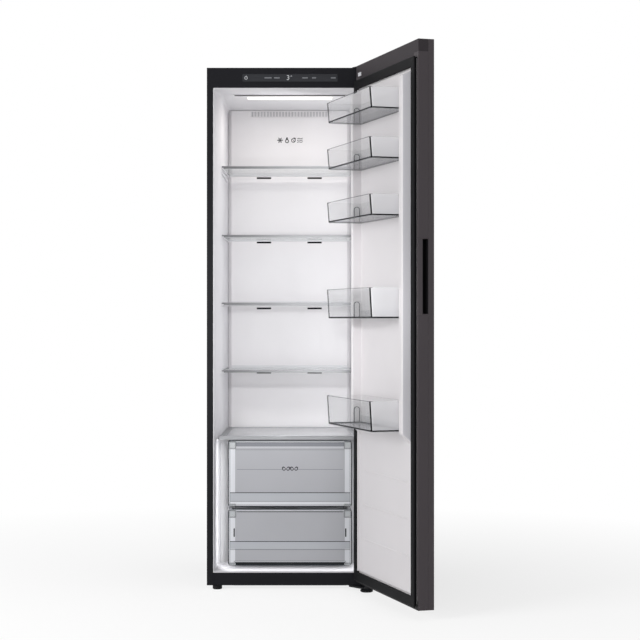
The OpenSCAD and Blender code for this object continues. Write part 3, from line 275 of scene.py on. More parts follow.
# ---------------------------------------------------------------- inner liner
# White high-impact polystyrene sheet, vacuum formed into one tub with round
# corners, a sloping mouth, the step over the machines and the ribs for the shelves.
def moulded(name, dark, light, rough, grain_mm, grain, level, glow=0.0):
    """Moulded or formed plastic: slow flow clouds and the fine texture of its tool."""
    finish, tree, surface = finish_called(name)
    place = put(tree, "TexCoord")
    flow = put(tree, "TexNoise", {"Vector": place.outputs["Object"], "Scale": 5.0, "Detail": 2.0})
    tone = put(tree, "ValToRGB", {"Fac": flow.outputs["Fac"]})
    two_tone(tone, dark, light)
    tool = put(tree, "TexNoise", {"Vector": place.outputs["Object"], "Scale": 1000 / grain_mm,
                                  "Detail": 2.0})
    rub = put(tree, "MapRange", {"Value": flow.outputs["Fac"], "To Min": rough - 0.03,
                                 "To Max": rough + 0.04})
    bump = put(tree, "Bump", {"Height": tool.outputs["Fac"], "Strength": grain, "Distance": 0.0003})
    skin = put(tree, "BsdfPrincipled", {"Base Color": tone.outputs["Color"],
                                        "Roughness": rub.outputs["Result"],
                                        "Specular IOR Level": level,
                                        "Normal": bump.outputs["Normal"]})
    if glow:
        skin.inputs["Emission Color"].default_value = shade(light)
        skin.inputs["Emission Strength"].default_value = glow
    tree.links.new(skin.outputs[0], surface)
    return finish


def choose(piece):
    """Makes a piece the only selected one, and the active one."""
    deselect()
    piece.select_set(True)
    bpy.context.view_layer.objects.active = piece


def settle():
    """Writes the place, turn and size of the chosen piece into its mesh."""
    bpy.ops.object.transform_apply(location=True, rotation=True, scale=True)


def block(name, one, other):
    """A cube brought to the size and place between two corners, ready to be shaped."""
    deselect()
    low = Vector([min(a, b) for a, b in zip(one, other)])
    high = Vector([max(a, b) for a, b in zip(one, other)])
    bpy.ops.mesh.primitive_cube_add(size=1, location=(low + high) / 2)
    made = bpy.context.object
    made.name = name
    made.scale = high - low
    settle()
    bpy.ops.object.mode_set(mode="EDIT")
    return made


def pick(kind, test):
    """Selects the faces, edges or points of the open mesh that a test names."""
    bpy.ops.mesh.select_mode(type=kind)
    bpy.ops.mesh.select_all(action="DESELECT")
    shape = bmesh.from_edit_mesh(bpy.context.object.data)
    parts = {"FACE": shape.faces, "EDGE": shape.edges, "VERT": shape.verts}[kind]
    parts.ensure_lookup_table()
    for one in parts:
        one.select_set(bool(test(one)))
    shape.select_flush_mode()
    bmesh.update_edit_mesh(bpy.context.object.data)


def middle(part):
    """The middle of a face or an edge."""
    return sum((v.co for v in part.verts), Vector()) / len(part.verts)


def upward(face):
    """True for a face that looks up."""
    return face.normal.z > 0.9


def slide(test, way):
    """Moves the points that a test names."""
    pick("VERT", test)
    bpy.ops.transform.translate(value=way)


def whole(part):
    """True for every part of a mesh."""
    return True


def cut(spot, normal, test=whole):
    """Bisects the whole open mesh, or the faces that a test names."""
    pick("FACE", test)
    bpy.ops.mesh.bisect(plane_co=spot, plane_no=normal)


def round_off(test, width, steps):
    """Bevels the edges that a test names."""
    pick("EDGE", test)
    bpy.ops.mesh.bevel(offset=width, segments=steps)


def take_out(test):
    """Deletes the faces that a test names."""
    pick("FACE", test)
    bpy.ops.mesh.delete(type="FACE")


def pull(way):
    """Extrudes the selected faces."""
    bpy.ops.mesh.extrude_region_move(TRANSFORM_OT_translate={"value": way})


def modify(piece, kind, **settings):
    """Adds one modifier and applies it."""
    leave()
    bpy.context.view_layer.objects.active = piece
    added = piece.modifiers.new(kind.lower(), kind)
    for name, value in settings.items():
        setattr(added, name, value)
    bpy.ops.object.modifier_apply(modifier=added.name)


def join(main, others):
    """Joins other pieces to a piece."""
    choose(main)
    for one in others:
        one.select_set(True)
    bpy.ops.object.join()
    return main


def complete(piece, finishes, body, stands_for=()):
    """Smooths a piece, gives it its finishes and says what it is part of."""
    choose(piece)
    bpy.ops.object.shade_smooth_by_angle(angle=math.radians(32))
    modify(piece, "WEIGHTED_NORMAL", keep_sharp=True)
    if not piece.data.materials:
        for finish in finishes:
            piece.data.materials.append(finish)
    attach(piece, body)
    if stands_for:
        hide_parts(*stands_for)


# Half widths, depths and heights of the compartment.
MOUTH_HALF, WALL_HALF, BACK_HALF = 0.273, 0.2515, 0.2375
LIP_Y, MOUTH_Y, STEP_Y, LINER_Y = 0.030, 0.090, 0.360, 0.552
SILL_Z, BASE_Z, STEP_Z, MOUTH_TOP = 0.047, 0.064, 0.267, 1.778
# The opening for the light housing.
LIGHT_HALF, LIGHT_FRONT, LIGHT_BACK = 0.2041, 0.0939, 0.2211
NEAR = 1e-4  # how near a point counts as on a plane


def half_at(y):
    """Half of the compartment's width at a depth."""
    if y < MOUTH_Y:
        return MOUTH_HALF - (MOUTH_HALF - WALL_HALF) * y / MOUTH_Y
    return WALL_HALF - (WALL_HALF - BACK_HALF) * (y - MOUTH_Y) / (LINER_Y - MOUTH_Y)


white_liner = moulded("vacuum_formed_polystyrene", "#dad9dc", "#e0dfe2", 0.5, 2.4, 0.03, 0.25)
liner = block("inner_liner_tub", (-MOUTH_HALF, 0, STEP_Z), (MOUTH_HALF, LINER_Y, MOUTH_TOP))
for y in (LIP_Y, MOUTH_Y, STEP_Y):
    cut((0, y, 0), (0, 1, 0))
pick("FACE", lambda f: f.normal.z < -0.9 and middle(f).y < STEP_Y)
pull((0, 0, BASE_Z - STEP_Z))
# Floor and ceiling heights at each depth, as moves from the plain box.
for y, floor_move, top_move in ((0, SILL_Z - BASE_Z, 0), (LIP_Y, -0.005, -0.003),
                                (MOUTH_Y, 0, -0.009), (STEP_Y, 0, -0.011), (LINER_Y, 0, -0.012)):
    slide(lambda v: abs(v.co.y - y) < NEAR and v.co.z < BASE_Z + NEAR, (0, 0, floor_move))
    slide(lambda v: abs(v.co.y - y) < NEAR and v.co.z > MOUTH_TOP - NEAR, (0, 0, top_move))
    for side in (-1, 1):
        slide(lambda v: abs(v.co.y - y) < NEAR and v.co.x * side > WALL_HALF,
              (side * (half_at(y) - MOUTH_HALF), 0, 0))
take_out(lambda f: f.normal.y < -0.9 and middle(f).y < NEAR)
round_off(lambda e: len(e.link_faces) == 2 and math.degrees(e.calc_face_angle()) > 40, 0.012, 5)
# At the mouth the round corners run out into the square corners of the flange.
for side in (-1, 1):
    for level in (SILL_Z, MOUTH_TOP):
        corner = Vector((side * MOUTH_HALF, 0, level))
        pick("VERT", lambda v: (v.co - corner).length < 0.0175 and v.co.y < NEAR)
        bpy.ops.transform.resize(value=(0.12, 1, 0.12), center_override=corner)
# The light housing sits in a hole in the ceiling.
for x in (-LIGHT_HALF, LIGHT_HALF):
    cut((x, 0, 0), (1, 0, 0), upward)
for y in (LIGHT_FRONT, LIGHT_BACK):
    cut((0, y, 0), (0, 1, 0), upward)
take_out(lambda f: upward(f) and abs(middle(f).x) < LIGHT_HALF
         and LIGHT_FRONT < middle(f).y < LIGHT_BACK)
modify(liner, "SOLIDIFY", thickness=0.002, offset=1.0, use_even_offset=True)

# Two ribs carry each shelf, one under its front trim and one beside its glass. Each
# rib: front, back, underside, top and how far it stands out of the wall. The last
# three lie lower under the top shelf and, in two lengths, under the cover shelf.
SHELF_Z = (0.765, 1.012, 1.260, 1.5111)
RIBS = [(0.132, 0.466, z - 0.0093, z - 0.0043, 0.007) for z in SHELF_Z]
RIBS += [(0.170, 0.466, z + 0.0012, z + 0.0062, 0.004) for z in SHELF_Z]
RIBS += [(0.130, 0.450, 1.4801, 1.4851, 0.007), (0.040, 0.090, 0.5147, 0.5197, 0.007),
         (0.090, 0.500, 0.5147, 0.5197, 0.007)]
ribs = []
for y0, y1, z0, z1, out in RIBS:
    for side in (-1, 1):
        rib = block("rib", (side * (half_at(y0) - out), y0, z0),
                    (side * (half_at(y0) + 0.0006), y1, z1))
        slide(lambda v: v.co.y > y1 - NEAR, (side * (half_at(y1) - half_at(y0)), 0, 0))
        round_off(lambda e: abs(middle(e).x) < half_at(middle(e).y) - out + 0.0005, 0.0014, 3)
        ribs.append(rib)
# Low beads stiffen the floor.
BEAD_TOP = 0.0666
for i in range(-2, 3):
    x = i * 0.08
    rib = block("rib", (x - 0.005, 0.100, BASE_Z - 0.0004), (x + 0.005, 0.350, BEAD_TOP))
    round_off(lambda e: middle(e).z > BEAD_TOP - NEAR, 0.0022, 3)
    ribs.append(rib)
join(liner, ribs)
complete(liner, [white_liner], "cabinet", ["inner_liner"])


# ---------------------------------------------------------------- plinth strip
# The hollow black strip under the opening is injection-moulded ABS, clipped
# to the base pan, with ribs behind its face.
black_abs = moulded("black_abs", "#131317", "#17171c", 0.5, 0.9, 0.06, 0.12)
dress(black_abs, "base_front_panel", "control_housing")
soften(0.0008, "base_front_panel", "control_housing")

# ---------------------------------------------------------------- head panel display
# The head panel over the opening carries a smoked acrylic window. Small lit
# marks show through it: a round key, plain bars and the temperature.
smoked = moulded("smoked_acrylic", "#303135", "#333438", 0.25, 3.0, 0.01, 0.12)
dress(smoked, "display_window")
soften(0.0006, "display_window")
lit_mark = moulded("lit_mark", "#b6b8bb", "#c0c2c5", 0.5, 1.0, 0.02, 0.1, 0.15)
dim_mark = moulded("dim_mark", "#76787c", "#7e8084", 0.5, 1.0, 0.02, 0.1)
GLASS_Y, MARK_Z = 0.00009, 1.816  # the window's face, and the middle of its marks
MARK_DEPTH = 0.0002


def runs(edge, axis):
    """True for an edge that runs along an axis."""
    way = (edge.verts[1].co - edge.verts[0].co).normalized()
    return abs(way[axis]) > 0.95


def along_y(edge):
    """True for an edge that runs from front to back."""
    return runs(edge, 1)


def bar(name, x0, x1, z0, z1, face=GLASS_Y, depth=MARK_DEPTH):
    """A flat mark with round ends on a front face."""
    made = block(name, (x0, face - depth, z0), (x1, face, z1))
    round_off(along_y, min(x1 - x0, z1 - z0) * 0.45, 3)
    leave()
    return made


# Each bar: its left and right end in millimetres.
BARS_MM = ((-91.5, -65.0), (-57.5, -36.4), (43.8, 64.2), (78.6, 93.2), (146.0, 164.0))
bars = [bar("bar", left / 1000, right / 1000, MARK_Z - 0.0022, MARK_Z + 0.0022)
        for left, right in BARS_MM]
marks = join(bars[0], bars[1:])
marks.name = "display_key_marks"
complete(marks, [dim_mark], "cabinet")


def ring(name, spot, outer, width, turns=24):
    """A flat ring that faces the front: a disc, inset, its middle taken out."""
    deselect()
    bpy.ops.mesh.primitive_circle_add(radius=outer, vertices=turns, fill_type="NGON",
                                      location=spot, rotation=(math.radians(90), 0, 0))
    made = bpy.context.object
    made.name = name
    settle()
    bpy.ops.object.mode_set(mode="EDIT")
    bpy.ops.mesh.select_all(action="SELECT")
    bpy.ops.mesh.inset(thickness=width)
    bpy.ops.mesh.delete(type="ONLY_FACE")
    bpy.ops.mesh.select_all(action="SELECT")
    pull((0, -MARK_DEPTH, 0))
    bpy.ops.mesh.select_all(action="SELECT")
    bpy.ops.mesh.normals_make_consistent(inside=False)
    leave()
    return made


key = ring("display_power_key", (-0.157, GLASS_Y, MARK_Z), 0.0058, 0.0014)
stroke = bar("stroke", -0.1577, -0.1563, MARK_Z + 0.0005, MARK_Z + 0.0078)
degree = ring("degree", (0.0045, GLASS_Y, MARK_Z + 0.0062), 0.0022, 0.0008, 16)
deselect()
bpy.ops.object.text_add(location=(-0.0068, GLASS_Y, MARK_Z), rotation=(math.radians(90), 0, 0))
digit = bpy.context.object
digit.data.body = "3"
digit.data.size = 0.0245
digit.data.extrude = 0.0001
digit.data.align_x = "CENTER"
digit.data.align_y = "CENTER"
bpy.ops.object.convert(target="MESH")
settle()
join(key, [stroke, degree, digit])
complete(key, [lit_mark], "cabinet")

# ---------------------------------------------------------------- interior light
# A white ABS housing snaps into the ceiling. It has a cooling slot at the front, lined
# with matte black that is painted shade, and an opal polycarbonate lens over its row of lamps.
white_abs = moulded("white_abs", "#dcdbdd", "#e2e1e3", 0.45, 0.8, 0.05, 0.35)
dress(white_abs, "lamp_housing")
soften(0.0006, "lamp_housing", "lamp_lens")
opal = moulded("opal_polycarbonate", "#fbf6ec", "#fffaf2", 0.35, 1.5, 0.02, 0.3, 0.55)
dress(opal, "lamp_lens")
# Matte black: the real colour of the grip's finger pocket, and painted shade where it lines the
# lamp's cooling slot, the duct's outlet pockets and the lower drawer's slots.
black_abs_and_slot_shade = moulded("matte_black_abs_and_slot_shade", "#141315", "#19181a", 0.7, 1.0, 0.05, 0.08)
slot = block("lamp_slot_shade_lining", (-0.2018, 0.0962, 1.7676), (0.2018, 0.1216, 1.7758))
take_out(lambda f: f.normal.z < -0.9)
round_off(lambda e: len(e.link_faces) == 2, 0.0012, 2)
modify(slot, "SOLIDIFY", thickness=0.0008, offset=-1.0)
complete(slot, [black_abs_and_slot_shade], "cabinet")
glow = bpy.data.lights.new("interior_light", "AREA")
glow.shape = "RECTANGLE"
glow.size, glow.size_y = 0.22, 0.06
glow.energy = 0.80
glow.color = shade("#fffaf4")[:3]
held = bpy.data.objects.new("interior_light", glow)
held.location = (0, 0.178, 1.763)
held.visible_glossy = False
bpy.context.scene.collection.objects.link(held)

# ---------------------------------------------------------------- air duct cover
# A moulded white ABS cover with bevelled sides hides the air duct at the back.
# Cold air leaves by two slots over each shelf and a grille at the top.
duct_white = moulded("duct_cover_abs", "#e3e1e3", "#e8e6e8", 0.5, 0.8, 0.05, 0.25)
dress(duct_white, "duct_cover")
soften(0.0012, "duct_cover")
# The outlet slots: their heights, place at both sides, and half width and height.
SLOT_Z = (0.744, 0.9945, 1.251, 1.5021)
SLOT_X, SLOT_HALF_WIDE, SLOT_HALF_HIGH = 0.0987, 0.0285, 0.0038


def forward(face):
    """True for a face that looks to the front."""
    return face.normal.y < -0.9


# Matte black pockets behind the outlet slots are painted shade in the slots.
pockets = []
for z in SLOT_Z:
    for x in (-SLOT_X, SLOT_X):
        pocket = block("pocket", (x - SLOT_HALF_WIDE, 0.5146, z - SLOT_HALF_HIGH),
                       (x + SLOT_HALF_WIDE, 0.5256, z + SLOT_HALF_HIGH))
        take_out(forward)
        round_off(along_y, 0.002, 3)
        modify(pocket, "SOLIDIFY", thickness=0.001, offset=1.0)
        pockets.append(pocket)
join(pockets[0], pockets[1:])
pockets[0].name = "outlet_slot_shade"
complete(pockets[0], [black_abs_and_slot_shade], "cabinet")

# A pale filter mat closes the grille at the top from behind.
mat_grey = moulded("filter_mat", "#c6c5c8", "#cecdd0", 0.8, 0.5, 0.2, 0.1)
mat = block("outlet_filter", (-0.1570, 0.5150, 1.7405), (0.1570, 0.5175, 1.7625))
MAT_PITCH = 0.0125
for i in range(-12, 13):
    cut((i * MAT_PITCH, 0, 0), (1, 0, 0), forward)
pick("FACE", forward)
bpy.ops.mesh.inset(thickness=0.0010, use_individual=True)
bpy.ops.transform.translate(value=(0, 0.0012, 0))
complete(mat, [mat_grey], "cabinet")

# Four plain pictures printed on the cover: a snowflake, a drop, a leaf and waves.
ink = moulded("grey_print", "#2e2e31", "#343437", 0.55, 1.0, 0.02, 0.15)
FACE_Y, ICON_Z, ICON_SIZE = 0.5120, 1.6495, 0.023


def tilt(piece, degrees, centre):
    """Turns a flat mark on its face."""
    choose(piece)
    bpy.ops.transform.rotate(value=math.radians(degrees), orient_axis="Y", center_override=centre)
    settle()
    return piece


def drawn_out(mark, test, way):
    """Draws the points of a mark that a test names out to a tip."""
    bpy.ops.object.mode_set(mode="EDIT")
    slide(test, way)
    leave()
    return mark


def snowflake(x, z, size):
    """Three crossed arms, each with a barb near both ends."""
    arms = []
    for turn in (0, 60, 120):
        strokes = [bar("arm", x - size / 2, x + size / 2, z - size * 0.06, z + size * 0.06, FACE_Y)]
        for end in (-1, 1):
            barb_x = x + end * size * 0.3
            strokes.append(bar("barb", barb_x - size * 0.045, barb_x + size * 0.045,
                               z - size * 0.13, z + size * 0.13, FACE_Y))
        arms += [tilt(stroke, turn, (x, FACE_Y, z)) for stroke in strokes]
    return arms


def drop(x, z, size):
    """A ring with its top drawn up to a point."""
    made = ring("drop", (x, FACE_Y, z - size * 0.14), size * 0.34, size * 0.13, 20)
    top = z + size * 0.1
    return drawn_out(made, lambda v: v.co.z > top and abs(v.co.x - x) < size * 0.12,
                     (0, 0, size * 0.3))


prints = snowflake(-0.036, ICON_Z, ICON_SIZE)
prints.append(drop(-0.009, ICON_Z, ICON_SIZE))
LEAF = (0.016, FACE_Y, ICON_Z)
prints.append(drawn_out(ring("leaf", LEAF, 0.0090, 0.0028), lambda v: v.co.z > ICON_Z + 0.006,
                        (0.0035, 0, 0.0015)))
prints.append(tilt(bar("vein", 0.008, 0.023, ICON_Z - 0.0011, ICON_Z + 0.0011, FACE_Y), -50, LEAF))
for row in (-1, 0, 1):
    z = ICON_Z + row * 0.0068
    for x, turn in ((0.0345, 24), (0.0415, -24), (0.0485, 24)):
        stroke = bar("wave", x - 0.0044, x + 0.0044, z - 0.0012, z + 0.0012, FACE_Y)
        prints.append(tilt(stroke, turn, (x, FACE_Y, z)))
join(prints[0], prints[1:])
prints[0].name = "duct_pictograms"
complete(prints[0], [ink], "cabinet")

# ---------------------------------------------------------------- cooling parts
# Behind the duct cover are the evaporator, a finned aluminium coil, and an
# axial fan of grey polypropylene in its shroud.
aluminium, tree, surface = finish_called("mill_finish_aluminium")
place = put(tree, "TexCoord")
rolled = put(tree, "Mapping", {"Vector": place.outputs["Object"], "Scale": (40, 400, 900)})
lines = put(tree, "TexNoise", {"Vector": rolled.outputs["Vector"], "Scale": 1.0, "Detail": 3.0})
tone = put(tree, "ValToRGB", {"Fac": lines.outputs["Fac"]})
two_tone(tone, "#b8bcc0", "#cdd1d4")
bump = put(tree, "Bump", {"Height": lines.outputs["Fac"], "Strength": 0.1, "Distance": 0.0003})
metal = put(tree, "BsdfPrincipled", {"Base Color": tone.outputs["Color"], "Metallic": 1.0,
                                     "Roughness": 0.35, "Normal": bump.outputs["Normal"]})
tree.links.new(metal.outputs[0], surface)
dress(aluminium, "evaporator")
grey_pp = moulded("grey_polypropylene", "#8b8f93", "#94989c", 0.5, 0.8, 0.05, 0.35)
dress(grey_pp, "fan_rotor")
dress(white_abs, "fan_shroud")


# ---------------------------------------------------------------- glass shelves
# Toughened glass, 4 mm thick with a green-grey edge. A white polystyrene trim
# with a grey cap strip is moulded on the front, and a white one on the back.
def clear(name, dark, light, alpha, rough, level):
    """A clear sheet: it lets the light through by its alpha and keeps its gloss."""
    finish, tree, surface = finish_called(name)
    place = put(tree, "TexCoord")
    flow = put(tree, "TexNoise", {"Vector": place.outputs["Object"], "Scale": 6.0, "Detail": 2.0})
    tone = put(tree, "ValToRGB", {"Fac": flow.outputs["Fac"]})
    two_tone(tone, dark, light)
    rub = put(tree, "MapRange", {"Value": flow.outputs["Fac"], "To Min": rough - 0.03,
                                 "To Max": rough + 0.03})
    sheet = put(tree, "BsdfPrincipled", {"Base Color": tone.outputs["Color"], "Alpha": alpha,
                                         "Roughness": rub.outputs["Result"],
                                         "Specular IOR Level": level})
    tree.links.new(sheet.outputs[0], surface)
    return finish


def slots_by(piece, finishes, rule):
    """Gives each face the finish whose number a rule names."""
    leave()
    piece.data.materials.clear()
    for finish in finishes:
        piece.data.materials.append(finish)
    for face in piece.data.polygons:
        face.material_index = rule(face.center, face.normal)


def plain(centre, normal):
    """The only finish of a piece that has one."""
    return 0


def copied(piece, name, way):
    """A copy with its own mesh, moved and applied."""
    choose(piece)
    bpy.ops.object.duplicate(linked=False)
    made = bpy.context.object
    made.name = name
    bpy.ops.transform.translate(value=way)
    settle()
    return made


glass_face = clear("float_glass", "#ccd2d2", "#d3d9d8", 0.36, 0.06, 0.4)
glass_edge = clear("cut_glass_edge", "#8fa09c", "#98a8a4", 0.85, 0.12, 0.5)
strip_grey = moulded("grey_cap_strip", "#7a7b7d", "#818284", 0.5, 1.0, 0.03, 0.12)
trim_white = moulded("white_shelf_trim", "#cfcfd2", "#d6d6d9", 0.5, 1.0, 0.03, 0.2)

def sharp(edge):
    """True for an edge where two faces meet at an angle."""
    return len(edge.link_faces) == 2 and edge.calc_face_angle() > 1


def by_face(centre, normal):
    """The finish of a pane: 0 on its faces and 1 on its cut edges."""
    return 0 if abs(normal.z) > 0.9 else 1


GLASS_THICK, PANE_FRONT, PANE_REAR, PANE_GAP = 0.004, 0.134, 0.466, 0.0025
TRIM_FRONT, TRIM_HALF = 0.130, 0.2415
REAR_BACK, REAR_HALF = 0.470, 0.2322
# The upstand at the back of the rear trim: its front, and half of its length.
UPSTAND_Y, UPSTAND_HALF = 0.467, 0.2240

z = SHELF_Z[0]
pane_half = half_at(PANE_FRONT) - PANE_GAP
pane = block("shelf_pane_1", (-pane_half, PANE_FRONT, z - GLASS_THICK), (pane_half, PANE_REAR, z))
for side in (-1, 1):
    slide(lambda v: v.co.y > PANE_REAR - NEAR and v.co.x * side > 0,
          (side * (half_at(PANE_REAR) - half_at(PANE_FRONT)), 0, 0))
round_off(whole, 0.0007, 2)
slots_by(pane, [glass_face, glass_edge], by_face)

trim = block("shelf_trim_1", (-TRIM_HALF, TRIM_FRONT, z - 0.008), (TRIM_HALF, 0.144, z + 0.001))
cut((0, 0, z - GLASS_THICK), (0, 0, 1))
for side in (-1, 1):
    pick("FACE", lambda f: f.normal.x * side > 0.9 and middle(f).z > z - GLASS_THICK)
    pull((side * 0.0068, 0, 0))
round_off(sharp, 0.0011, 3)
slots_by(trim, [trim_white, strip_grey], lambda c, n: 1 if c.y < TRIM_FRONT + 0.0015 else 0)
rear = block("rear_trim", (-REAR_HALF, 0.456, z - 0.007), (REAR_HALF, REAR_BACK, z + 0.001))
cut((0, UPSTAND_Y, 0), (0, 1, 0))
for x in (-UPSTAND_HALF, UPSTAND_HALF):
    cut((x, 0, 0), (1, 0, 0))
pick("FACE", lambda f: upward(f) and middle(f).y > UPSTAND_Y and abs(middle(f).x) < UPSTAND_HALF)
pull((0, 0, 0.008))
round_off(sharp, 0.0009, 2)
slots_by(rear, [trim_white], plain)
join(trim, [rear])
for i, z in enumerate(SHELF_Z, 1):
    way = (0, 0, z - SHELF_Z[0])
    new_pane = pane if i == 1 else copied(pane, "shelf_pane_%d" % i, way)
    new_trim = trim if i == 1 else copied(trim, "shelf_trim_%d" % i, way)
    complete(new_pane, [], "cabinet", ["shelf_glass_%d" % i])
    complete(new_trim, [], "cabinet", ["shelf_trims_%d" % i])

# ---------------------------------------------------------------- cover shelf
# The glass over the drawers lies in a grey ABS frame, wider at the front
# where the mouth of the liner opens out.
COVER_Z, COVER_HALF, COVER_BACK, COVER_GAP = 0.532, 0.254, 0.508, 0.002
frame_grey = moulded("grey_frame_abs", "#a1a2a5", "#a8a9ac", 0.5, 0.9, 0.04, 0.2)
cover_face = clear("grey_printed_glass", "#c9cbce", "#d0d2d5", 0.86, 0.15, 0.3)


def open_through(axis, wall):
    """Opens a piece along an axis, and leaves a wall of one thickness all round."""
    for way in (1, -1):
        pick("FACE", lambda f: f.normal[axis] * way > 0.9)
        bpy.ops.mesh.inset(thickness=wall)
        bpy.ops.mesh.delete(type="FACE")
    pick("EDGE", lambda e: len(e.link_faces) == 1)
    bpy.ops.mesh.bridge_edge_loops()


cover = block("cover_shelf_frame", (-COVER_HALF, 0.009, COVER_Z - 0.012),
              (COVER_HALF, COVER_BACK, COVER_Z + 0.001))
cut((0, MOUTH_Y, 0), (0, 1, 0))
for side in (-1, 1):
    for y in (MOUTH_Y, COVER_BACK):
        slide(lambda v: abs(v.co.y - y) < NEAR and v.co.x * side > 0,
              (side * (half_at(y) - COVER_GAP - COVER_HALF), 0, 0))
open_through(2, 0.020)
round_off(sharp, 0.0018, 3)
complete(cover, [frame_grey], "cabinet", ["cover_shelf_trims"])
pane = block("cover_shelf_pane", (-0.2351, 0.017, COVER_Z - GLASS_THICK), (0.2351, 0.500, COVER_Z))
round_off(whole, 0.0007, 2)
slots_by(pane, [cover_face, glass_edge], by_face)
complete(pane, [], "cabinet", ["cover_shelf_glass"])

# ---------------------------------------------------------------- drawer guides
# A white moulded panel is clipped to each side wall beside the drawers. Two
# ledges on it carry the rims of the drawers.
dress(white_abs, "drawer_rails")
soften(0.0012, "drawer_rails")

# ---------------------------------------------------------------- drawers
# Two tubs of smoke-grey styrene acrylonitrile. Each has a flat front with round
# corners, a grip along the top and clear stops at its corners.
tub_grey = clear("smoked_san_tub", "#b9bcc0", "#c0c3c7", 0.42, 0.10, 0.3)
front_grey = clear("smoked_san_front", "#b8b9be", "#bfc0c5", 0.88, 0.20, 0.2)
front_light = clear("clear_san_front", "#e8eaef", "#eff1f6", 0.84, 0.15, 0.2)
front_step = clear("clear_san_step", "#bfc2c8", "#c6c9cf", 0.88, 0.20, 0.2)
# The dark lines at the rims, grooves and ridges of the clear fronts, on the corner stops, and in
# the recess under the lower drawer are painted shade.
shade_line = clear("san_painted_shade_line", "#1d2023", "#26292c", 0.95, 0.3, 0.1)
# Softer painted shade lines: across the fronts, along their top edge and on the tops of the tub
# walls.
soft_shade_line = clear("san_soft_painted_shade_line", "#7a7e82", "#82868a", 0.92, 0.3, 0.1)
grip_tone = clear("san_grip_band", "#8c8e95", "#93959c", 0.92, 0.25, 0.2)
stop_clear = clear("clear_san_stop", "#cfd2d5", "#d6d9dc", 0.72, 0.12, 0.3)
# The finishes of a front, and their numbers.
FRONT = [front_grey, front_light, front_step, shade_line, soft_shade_line, grip_tone]
GREY, LIGHT, STEP, DARK, SOFT, GRIP = range(6)
# The finishes of a corner stop, and their numbers.
STOP = [stop_clear, shade_line]
CLEAR, LINE = range(2)
FRONT_HALF, FRONT_Y = 0.222, 0.010
GAP_HALF, SIDE_X = 0.1935, 0.1965  # half of the gap below, and where the side strips start

# The bands of each front: from, to, half width, how far it is set back, and finish.
UPPER = [(0.4955, 0.5100, 0.1945, 0.0020, GRIP), (0.4930, 0.4955, 0.1945, 0, LIGHT),
         (0.4834, 0.4850, 0.1945, 0.0004, SOFT), (0.4130, 0.4144, 0.1900, 0.0003, SOFT),
         (0.3291, 0.3315, 0.2150, 0.0006, DARK), (0.3002, 0.3291, 0.2150, 0, STEP),
         (0.2984, 0.3002, 0.2150, 0.0004, SOFT), (0.2870, 0.2984, 0.2150, 0, LIGHT)]
LOWER = [(0.2638, 0.2700, 0.1900, 0.0020, GRIP), (0.2606, 0.2624, 0.1900, 0.0004, DARK),
         (0.1543, 0.1567, 0.2150, 0.0006, DARK), (0.1292, 0.1543, 0.2150, 0, STEP),
         (0.1256, 0.1274, 0.2150, 0.0004, SOFT)]
# Name, underside, height, depth, bands, top of the gap below, and span of the slots' painted shade.
DRAWERS = [("drawer_upper", 0.280, 0.237, 0.470, UPPER, None, None),
           ("drawer_lower", 0.069, 0.202, 0.335, LOWER, 0.0785, (0.172, 0.203))]
PRINT_Y = 0.0101  # the back of a printed mark, just inside the front


def tint(number):
    """Gives the selected faces one of the piece's finishes."""
    bpy.context.object.active_material_index = number
    bpy.ops.object.material_slot_assign()


def on_front(face):
    """True for a face on the flat of a drawer's front."""
    return forward(face) and middle(face).y < FRONT_Y + NEAR


def on_field(face):
    """True for a face of the plain field inside the front's outline."""
    return on_front(face) and face.material_index == GREY


